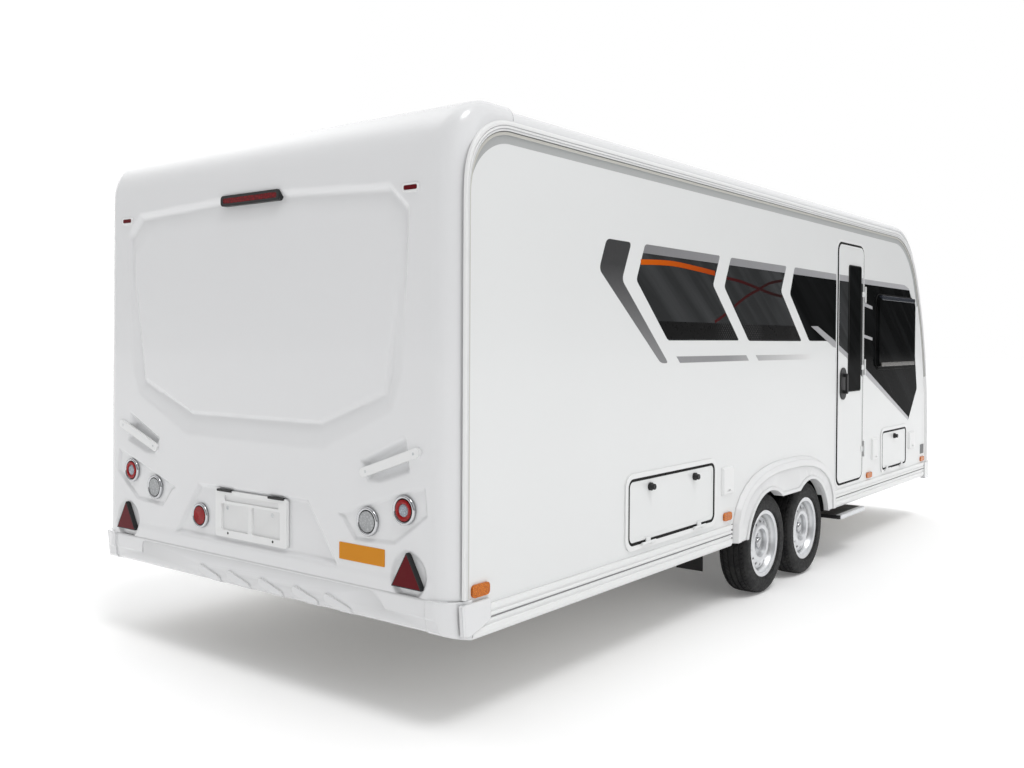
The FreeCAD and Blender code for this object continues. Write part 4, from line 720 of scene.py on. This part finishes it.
def livery(side_name, side):
    """Thin films on one side; the right side's door carries its own share."""
    serial = 0

    def put(outline, lift, finish, body="caravan", face=SIDE):
        nonlocal serial
        serial += 1
        plate("film_%s_%02d" % (side_name, serial), outline, "y", side * (face - 0.0002),
              side * (face + lift), finish, body)

    def put_panel(outline, black, *place):
        put(part_of(outline, BAND_LOW, LOWER), BLACK_LIFT, black, *place)
        put(part_of(outline, BAND_LOW, UPPER), BAND_LIFT, silver_fade, *place)

    put(softened(PANEL_REAR, 0.03), BLACK_LIFT, charcoal_fade)
    for panel, black in ((PANEL_A, film), (PANEL_B, film), (PANEL_C, glass), (PANEL_D, glass)):
        put_panel(softened(panel, 0.02), black)
    for panel in (PANEL_A, PANEL_B):
        put(part_of(part_of(panel, DOTS_HIGH, LOWER), DOTS_LOW, UPPER), DOTS_LIFT, dots)
    put(swept_strip(ORANGE_LINE, 0.027), LINE_LIFT, orange_fade)
    for line, lift in zip(RED_LINES, (LINE_LIFT, LINE_LIFT, LOW_LINE_LIFT)):
        put(swept_strip(line, 0.017), lift, maroon)
    for strip in SILVER_STRIPS:
        put(strip, STRIP_LIFT, silver_fade)
    for strip in GREY_STRIPS:
        put(strip, GREY_LIFT, grey_fade)
    door = ("entrance_door", DOOR_FACE) if side < 0 else ("caravan", SIDE)
    for panel in (DOOR_REAR, DOOR_FRONT):
        put_panel(panel, film, *door)
    put(DOOR_STRIP, STRIP_LIFT, silver_fade, *door)


# Openings: their rear, front, low and high edges, and the side that they are in

DOOR = (0.880, 1.445, 0.532, 2.304)
LOCKERS = {"rear_locker_door": ((-2.016, -1.070, 0.556, 0.891), -1),
           "front_locker_door": ((1.916, 2.559, 0.546, 0.858), -1),
           "service_door": ((-2.594, -2.206, 0.626, 0.914), 1)}
DOOR_PANE = (1.104, 1.372, 1.209, 2.148)
LOUNGE_WINDOW = (1.742, 2.745, 1.362, 1.956)
WINDOWS = {"right": [LOUNGE_WINDOW],
           "left": [LOUNGE_WINDOW, (-2.25, -1.15, 1.18, 1.79), (-0.25, 0.75, 1.26, 1.79)]}


def leaf_rubber(name, body, box, radius, side, lift, face):
    """A rubber frame that fills the gap round a leaf, and a rubber edge that wraps its rim."""
    parts = (("seal", 0.002, -0.0046, SIDE - 0.010, SIDE + lift, "caravan"),
             ("lip", -0.0042, -0.015, SIDE - 0.006, face + 0.0016, body))
    for part, outer, inner, near, far, owner in parts:
        ring("%s_%s" % (name, part), rounded_box(box, radius + outer, outer),
             rounded_box(box, radius + inner, inner), "y", side * near, side * far, seal_rubber, owner)


def seals():
    leaf_rubber("door", "entrance_door", DOOR, 0.075, -1, 0.0012, DOOR_FACE)
    for name, (box, side) in LOCKERS.items():
        leaf_rubber(name, name, box, 0.045, side, 0.0062, LOCKER_FACE)
    ring("door_frame", rounded_box(DOOR, 0.09, 0.018), rounded_box(DOOR, 0.076, 0.0015), "y",
         -SIDE + 0.0002, -SIDE - 0.0028, white_trim)
    face = -DOOR_FACE + 0.0002
    ring("door_leaf_bead", rounded_box(DOOR, 0.060, -0.016), rounded_box(DOOR, 0.055, -0.023), "y",
         face, face - 0.003, white_trim, "entrance_door", "body_white")
    ring("door_pane_seal", rounded_box(DOOR_PANE, 0.022), rounded_box(DOOR_PANE, 0.016, -0.008), "y",
         face, face - 0.0064, seal_rubber, "entrance_door")


def window_trims():
    """A rubber frame, a hinge rail along the top and a catch rail along the base."""
    for name, side in SIDES.items():
        for number, box in enumerate(WINDOWS[name]):
            ring("window_seal_%s_%d" % (name, number), rounded_box(box, 0.088, 0.006),
                 rounded_box(box, 0.080, -0.002), "y", side * (SIDE - 0.0002), side * (SIDE + 0.004),
                 seal_rubber)
            x0, x1, z0, z1 = box
            rails = (("hinge", z1 - 0.044, z1 - 0.008, hinge_black),
                     ("catch", z0 + 0.022, z0 + 0.054, catch_grey))
            for part, low, high, finish in rails:
                bar = plate("window_%s_%s_%d" % (part, name, number),
                            rounded_box((x0 + 0.06, x1 - 0.06, low, high), 0.014), "y",
                            side * (SIDE + 0.008), side * (SIDE + 0.0336), finish)
                sharpen(bar, 40)


# Lamps: each profile is a list of radii and distances behind the front

BEZEL = [(0.062, 0.014), (0.062, 0.006), (0.0595, 0.0015), (0.055, 0.0), (0.0505, 0.0015),
         (0.048, 0.005), (0.047, 0.010), (0.047, 0.014)]
GASKET = [(0.0472, 0.012), (0.0472, 0.0028), (0.0447, 0.0028), (0.0447, 0.012)]
RING_GLASS = [(0.0445, 0.012), (0.0445, 0.0025), (0.0425, 0.001), (0.037, -0.0006), (0.029, 0.0004),
              (0.0265, 0.004), (0.0265, 0.012)]
CENTRE_GLASS = [(0.0263, 0.012), (0.0263, 0.0045), (0.022, 0.0035), (0.012, 0.003), (0.0, 0.0028),
                (0.0, 0.012)]


def domed_glass():
    """A shallow dome with eight raised rings."""
    profile = [(0.0445, 0.012)]
    for number in range(8):
        radius = 0.0445 - 0.0052 * number
        dome = 0.0025 * (radius / 0.044) ** 2 - 0.0005
        profile += [(radius, dome), (radius - 0.0014, dome + 0.0012), (radius - 0.0024, dome + 0.0012)]
    return profile + [(0.0, -0.0004), (0.0, 0.012)]


def lamp(name, y, z, back, glasses):
    """A chrome bezel with a rubber gasket, and its glasses."""
    centre = (back - 0.014, y, z)
    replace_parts(lathe(name + "_bezel", BEZEL, centre, "x", bright_chrome), "lamp_housings")
    lathe(name + "_gasket", GASKET, centre, "x", seal_rubber)
    for part, profile, finish in glasses:
        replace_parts(lathe("%s_%s" % (name, part), profile, centre, "x", finish), "lamp_lenses")


def rear_lamps():
    tail = (("ring", RING_GLASS, red_lens), ("centre", CENTRE_GLASS, blue_lens))
    for name, side in SIDES.items():
        lamp("tail_lamp_" + name, side * 0.986, 0.885, REAR + 0.008, tail)
        lamp("reverse_lamp_" + name, side * 0.775, 0.815, REAR + 0.008,
             [("lens", domed_glass(), clear_lens)])
    lamp("fog_lamp", 0.398, 0.710, REAR + 0.014, [("lens", domed_glass(), red_lens)])
    ring("brake_case", rounded_box((-0.2135, 0.2135, 2.207, 2.257), 0.0175),
         rounded_box((-0.197, 0.197, 2.2195, 2.2445), 0.010), "x", REAR - 0.0105, REAR + 0.022,
         black_plastic)
    plate("brake_lens", rounded_box((-0.1975, 0.1975, 2.219, 2.245), 0.0105), "x", REAR - 0.0095,
          REAR - 0.004, dark_red_lens)
    for name, side in SIDES.items():
        y = side * 1.02
        ring("marker_rim_" + name, rounded_box((y - 0.046, y + 0.046, 2.176, 2.212), 0.012),
             rounded_box((y - 0.0365, y + 0.0365, 2.1845, 2.2035), 0.006), "x", REAR - 0.005,
             REAR + 0.002, white_plastic)
        triangle_case("warning_triangle_%s_case" % name, side)


def triangle_case(name, side):
    """The black case round a reflector's sides."""
    outlines = []
    for size in (0.0968, 0.0864):
        corners = [(side * REFLECTOR_Y + across * size, REFLECTOR_Z + up * size)
                   for across, up in ((0, 1), (-0.866, -0.5), (0.866, -0.5))]
        outlines.append(softened(corners, 0.003, 3))
    ring(name, *outlines, "x", REAR - 0.0155, REAR + 0.0098, black_plastic)


# Plates without writing, screws, clips and knobs

KNOB = [(0.0206, 0.0325), (0.0206, 0.0180), (0.0190, 0.0168), (0.0152, 0.0162), (0.0152, 0.0010),
        (0.0142, 0.0), (0.006, 0.0), (0.0055, 0.0005), (0.0, 0.0005), (0.0, 0.0325)]


def screw(name, x, y, z, radius, finish):
    profile = [(radius, 0.003), (radius, 0.001), (radius * 0.8, 0.0), (radius * 0.35, 0.0),
               (radius * 0.3, 0.0012), (0.0, 0.0012), (0.0, 0.003)]
    lathe(name, profile, (x, y, z), "x", finish, segments=18)


def small_fittings():
    plate("yellow_plate", rounded_box((-0.880, -0.607, 0.638, 0.711), 0.004), "x", REAR - 0.0018,
          REAR + 0.0005, yellow)
    plate("grey_plate", rounded_box((2.996, 3.100, 0.585, 0.668), 0.004), "y", -SIDE, -SIDE - 0.0018,
          grey_plate)
    holder = REAR - 0.0022
    for number, y in enumerate((0.18, -0.15)):
        screw("holder_screw_%d" % number, holder + 0.0085, y, 0.770, 0.010, steel)
    # Painted shade: black rubber discs stand for the shade inside the holder's two holes.
    for number, y in enumerate((0.165, -0.165)):
        screw("holder_hole_shade_%d" % number, holder - 0.0012, y, 0.652, 0.006, seal_rubber)
    for number, y in enumerate((0.19, -0.19)):
        plate("holder_clip_%d" % number, rounded_box((y - 0.054, y + 0.054, 0.8485, 0.8595), 0.003),
              "x", holder - 0.0066, holder + 0.006, black_plastic)
    for name, side in SIDES.items():
        for number, (y, z) in enumerate(((0.774, 1.027), (1.048, 1.121))):
            screw("handle_screw_%s_%d" % (name, number), REAR - 0.0128, side * y, z, 0.0065, steel)
    knobs = (("rear_1", -1.799, -1, 0.836, "rear_locker_door"),
             ("rear_2", -1.314, -1, 0.836, "rear_locker_door"),
             ("front", 2.2325, -1, 0.803, "front_locker_door"),
             ("service", -2.4, 1, 0.859, "service_door"))
    for name, x, side, z, body in knobs:
        centre = (x, side * (SIDE + 0.0338), z)
        lathe("knob_" + name, KNOB, centre, "y", black_plastic, body, sign=-side)


# Tyres with grooves, blocks and a ribbed side wall

GROOVES = (-0.054, -0.019, 0.019, 0.054)


def tyre_section():
    """Radius and place across the tyre from one bead over the tread to the other."""
    side = [(0.2015, 0.056), (0.2075, 0.0765), (0.211, 0.0855), (0.2225, 0.0905), (0.2235, 0.0915),
            (0.2255, 0.0915), (0.2265, 0.0905), (0.245, 0.0922), (0.262, 0.0918), (0.2635, 0.0908),
            (0.266, 0.0908), (0.2675, 0.0915), (0.282, 0.0895), (0.294, 0.0835), (0.3015, 0.0765)]
    tread = [(0.3015 + 0.0095 * math.sqrt(max(0.0, 1 - (y / 0.0735) ** 4)), y)
             for y in np.linspace(0.0735, -0.0735, 64)]
    return side + tread + [(radius, -y) for radius, y in side[::-1]]


def carved(radius, y, step):
    """The tread's radius where a groove or a slot runs."""
    if abs(y) > 0.0740 or radius < 0.3:
        return radius
    if any(abs(y - groove) < 0.0048 for groove in GROOVES):
        return radius - 0.007
    slot = (step + int(abs(y) * 130) + (2 if abs(y) < 0.054 else 0)) % 5 == 0
    if slot and abs(y) > 0.058:
        return radius - 0.006
    if slot and 0.024 < abs(y) < 0.049:
        return radius - 0.0035
    return radius


HUB_CAP = [(0.033, -0.006), (0.033, 0.018), (0.030, 0.024), (0.022, 0.0275), (0.0, 0.029), (0.0, -0.006)]
NUT = [(0.0105, -0.001), (0.0105, 0.012), (0.008, 0.016), (0.0, 0.0165), (0.0, -0.001)]


def tyre(wheel, x, side):
    section = tyre_section()
    segments = 300
    vertices = []
    for step in range(segments):
        turn = 2 * math.pi * (step + 0.5) / segments
        for radius, y in section:
            reach = carved(radius, y, step)
            vertices.append((x + reach * math.cos(turn), side * WHEEL_Y + y,
                             TYRE_RADIUS + reach * math.sin(turn)))
    faces = [face[::-1] for face in wrapped_faces(segments, len(section))]
    item = piece("tyre_tread_" + wheel, vertices, faces, tyre_rubber, "wheel_" + wheel)
    sharpen(item, 32)
    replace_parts(item, "tyre_" + wheel)


def hub_fittings(wheel, x, side):
    """A dust cap and five wheel nuts round it."""
    body = "wheel_" + wheel
    face = side * (WHEEL_Y + 0.024)
    nut_circle = 0.050
    lathe("hub_cap_" + wheel, HUB_CAP, (x, face, TYRE_RADIUS), "y", bright_chrome, body, 40, side)
    for number in range(5):
        turn = 2 * math.pi * number / 5 + 0.3
        centre = (x + nut_circle * math.cos(turn), face, TYRE_RADIUS + nut_circle * math.sin(turn))
        sharpen(lathe("nut_%s_%d" % (wheel, number), NUT, centre, "y", steel, body, 6, side), 30)


def wheels():
    for end, x in (("rear", -AXLE), ("front", AXLE)):
        for name, side in SIDES.items():
            tyre("%s_%s" % (end, name), x, side)
            hub_fittings("%s_%s" % (end, name), x, side)


# Entry step's ribbed tread

def step_tread():
    x0, x1, y0, y1, top = 0.892, 1.408, -1.276, -1.075, 0.322
    rows = 40
    outline = []
    for i in range(rows + 1):
        rib = 0.0022 if i % 4 in (1, 2) else 0.0
        outline.append((y0 + (y1 - y0) * i / rows, top + 0.0005 + rib))
    outline += [(y1, top - 0.001), (y0, top - 0.001)]
    plate("step_tread", outline, "x", x0, x1, black_plastic, "entry_step")
    box = (x0, x1, y0, y1)
    ring("step_edge", rounded_box(box, 0.022, 0.0125), rounded_box(box, 0.012, 0.0005), "z",
         top - 0.0245, top + 0.0015, black_plastic, "entry_step")
    nosing = [(y0 - 0.0135, top - 0.026), (y0 + 0.022, top - 0.026), (y0 + 0.022, top + 0.0035),
              (y0 - 0.0105, top + 0.0035), (y0 - 0.0135, top)]
    plate("step_nosing", nosing, "x", x0 - 0.001, x1 + 0.001, silver, "entry_step")


# Sills, the roof's seam and the wheel boxes' ends below the floor

def sill_lines():
    """A dark line in the sills' middle groove."""
    for name, side in SIDES.items():
        for end, x0, x1 in (("rear", -3.212, -0.843), ("front", 0.843, 3.086)):
            plate("sill_line_%s_%s" % (name, end), rectangle(x0, x1, 0.4445, 0.4505), "y",
                  side * (SIDE + 0.0045), side * (SIDE + 0.0056), rail_line)


def sill_ends():
    """A proud end plate with an upright fin where each sill meets the bumper."""
    outline = [(-3.296, 0.530), (-3.108, 0.530), (-3.108, 0.442), (-3.170, 0.418), (-3.244, 0.397),
               (-3.286, 0.409)]
    fin = [(-3.297, 0.531), (-3.280, 0.531), (-3.270, 0.404), (-3.287, 0.408)]
    for name, side in SIDES.items():
        for part, shape, radius, far in (("end", outline, 0.012, 0.0165), ("fin", fin, 0.004, 0.022)):
            plate("sill_%s_%s" % (part, name), softened(shape, radius), "y", side * (SIDE + 0.004),
                  side * (SIDE + far), gelcoat_edges)


def roof_seam():
    """The thin dark joint where the moulding meets the roof and its rails."""
    corner = arc(SIDE - CORNER_ROOF, MOULDING_TOP - CORNER_ROOF, CORNER_ROOF, 90, 0, 10)
    over = mirrored([point[:2] for point in corner] + [(SIDE, 2.495)])
    under = [(y * 0.9986, z - 0.003) for y, z in over]
    plate("roof_seam", over + under[::-1], "x", SEAM - 0.0015, SEAM + 0.002, dark_line)


def arch_liners():
    for name, side in SIDES.items():
        for end, x in (("rear", -0.6685), ("front", 0.6645)):
            plate("arch_liner_%s_%s" % (name, end), rectangle(side * 1.022, side * 1.246, 0.38, 0.51),
                  "x", x, x + 0.004, black_plastic)


# Cushions inside

def cushion(name, x0, x1, y0, y1, z0, z1):
    """A crowned pad with sides that draw in between its corners, and a rounded top edge."""
    columns, rows = 40, 24
    vertices = []

    def surface(u, w, upper):
        crown = (1 - u ** 4) * (1 - w ** 4)
        pull = 0.006 * ((1 - w * w) * abs(u) ** 6 + (1 - u * u) * abs(w) ** 6)
        x = (x0 + x1) / 2 + u * ((x1 - x0) / 2 - pull)
        y = (y0 + y1) / 2 + w * ((y1 - y0) / 2 - pull)
        edge = max(abs(u), abs(w))
        drop = 0.018 * max(0.0, (edge - 0.93) / 0.07) ** 2
        return x, y, z1 + 0.012 * crown - drop if upper else z0

    for upper in (True, False):
        for row in range(rows + 1):
            for column in range(columns + 1):
                vertices.append(surface(2 * column / columns - 1, 2 * row / rows - 1, upper))
    width = columns + 1
    layer = width * (rows + 1)
    faces = [face[::-1] for face in sheet_faces(rows + 1, width)]
    faces += sheet_faces(rows + 1, width, layer)
    border = list(range(columns))
    border += [row * width + columns for row in range(rows)]
    border += [rows * width + column for column in range(columns, 0, -1)]
    border += [row * width for row in range(rows, 0, -1)]
    faces += [(a, layer + a, layer + b, b) for a, b in zip(border, border[1:] + border[:1])]
    item = piece(name, vertices, faces, cloth, smooth=True)
    sharpen(item, 50)


def cushions():
    cushion("seat_cushion_left", 1.706, 2.834, 0.641, 1.209, 0.924, 1.048)
    cushion("seat_cushion_right", 1.706, 2.834, -1.209, -0.641, 0.924, 1.048)
    cushion("mattress_cover", -3.25, -1.06, -0.854, 0.854, 0.989, 1.134)


rear_moulding()
edge_rails()
for side_name, side_sign in SIDES.items():
    livery(side_name, side_sign)
seals()
window_trims()
rear_lamps()
small_fittings()
wheels()
step_tread()
sill_lines()
sill_ends()
roof_seam()
arch_liners()
cushions()


# Floor, light and camera

def floor():
    """Pale paper, far wider than the view."""
    reach = 90
    mesh = bpy.data.meshes.new("floor")
    mesh.from_pydata([(x, y, 0) for x, y in rectangle(-reach, reach, -reach, reach)], [], [(0, 1, 2, 3)])
    paper = Finish("pale_floor", 0.95, specular=0.0)
    paper.colour(paper.noise(0.4), (0.93, 0.93, 0.93), (0.945, 0.945, 0.945))
    paper.fill(paper.surface, {"Emission Color": (1, 1, 1, 1), "Emission Strength": 0.12})
    mesh.materials.append(paper.material)
    added("floor", mesh)


def level(degrees):
    """A level direction, turned from straight ahead to the left."""
    return math.cos(math.radians(degrees)), math.sin(math.radians(degrees)), 0


def studio():
    """White where it is seen; its light is dimmer from behind and from the right's horizon."""
    world = bpy.data.worlds.new("studio")
    sky = Shading(world)
    direction = sky.node("ShaderNodeTexCoord").outputs["Generated"]

    def toward(heading, low, high, out_low, out_high):
        dot = sky.node("ShaderNodeVectorMath", {0: direction, 1: heading}, operation="DOT_PRODUCT")
        return sky.span(dot.outputs["Value"], low, high, out_low, out_high,
                        interpolation_type="SMOOTHSTEP")

    def combined(operation, first, second):
        return sky.node("ShaderNodeMath", {0: first, 1: second}, operation=operation).outputs[0]

    ahead = toward(level(-15), -0.6, 0.08, 0.25, 1.0)
    not_right = toward(level(-55), 0.45, 0.72, 1.0, 0.05)
    above = toward((0, 0, 1), 0.13, 0.34, 0.0, 1.0)
    bright_left = toward((-0.35, 0.92, 0.17), 0.45, 0.9, 1.0, 2.2)
    shaped = combined("MULTIPLY", ahead, combined("MAXIMUM", not_right, above))
    lit = combined("MULTIPLY", shaped, bright_left)
    seen = sky.node("ShaderNodeLightPath").outputs["Is Camera Ray"]
    strength = combined("MAXIMUM", lit, seen)
    sky.fill(sky.tree.nodes["Background"], {"Color": (1, 1, 1, 1), "Strength": strength})
    bpy.context.scene.world = world


def sun(name, energy, breadth, heading):
    """A distant light with a breadth in degrees, from a heading."""
    light = bpy.data.lights.new(name, "SUN")
    light.energy = energy
    light.angle = math.radians(breadth)
    turn = (-Vector(heading)).to_track_quat("-Z", "Y").to_euler()
    added(name, light).rotation_euler = turn


def camera():
    """The photograph's view, from its measured place, heading, tilt and roll."""
    place = Vector((-6.2907, -3.8201, 1.5832))
    yaw, pitch, roll = math.radians(37.624), math.radians(-0.861), math.radians(0.314)
    focal, width, axis_offset = 1004.42, 1024, 29.52
    sensor = 36
    turned = Matrix.Rotation(yaw - math.pi / 2, 4, "Z")
    tilted = Matrix.Rotation(pitch + math.pi / 2, 4, "X")
    rolled = Matrix.Rotation(roll, 4, "Z")
    eye = added("camera", bpy.data.cameras.new("camera"))
    eye.data.sensor_width = sensor
    eye.data.lens = sensor * focal / width
    eye.data.shift_y = -axis_offset / width
    eye.matrix_world = Matrix.Translation(place) @ turned @ tilted @ rolled
    bpy.context.scene.camera = eye


floor()
studio()
sun("broad_light", 0.35, 60, (-0.10, 0.20, 0.97))
sun("key_light", 0.80, 18, (-0.12, -0.38, 0.915))
camera()
bpy.context.scene.view_settings.view_transform = "Standard"
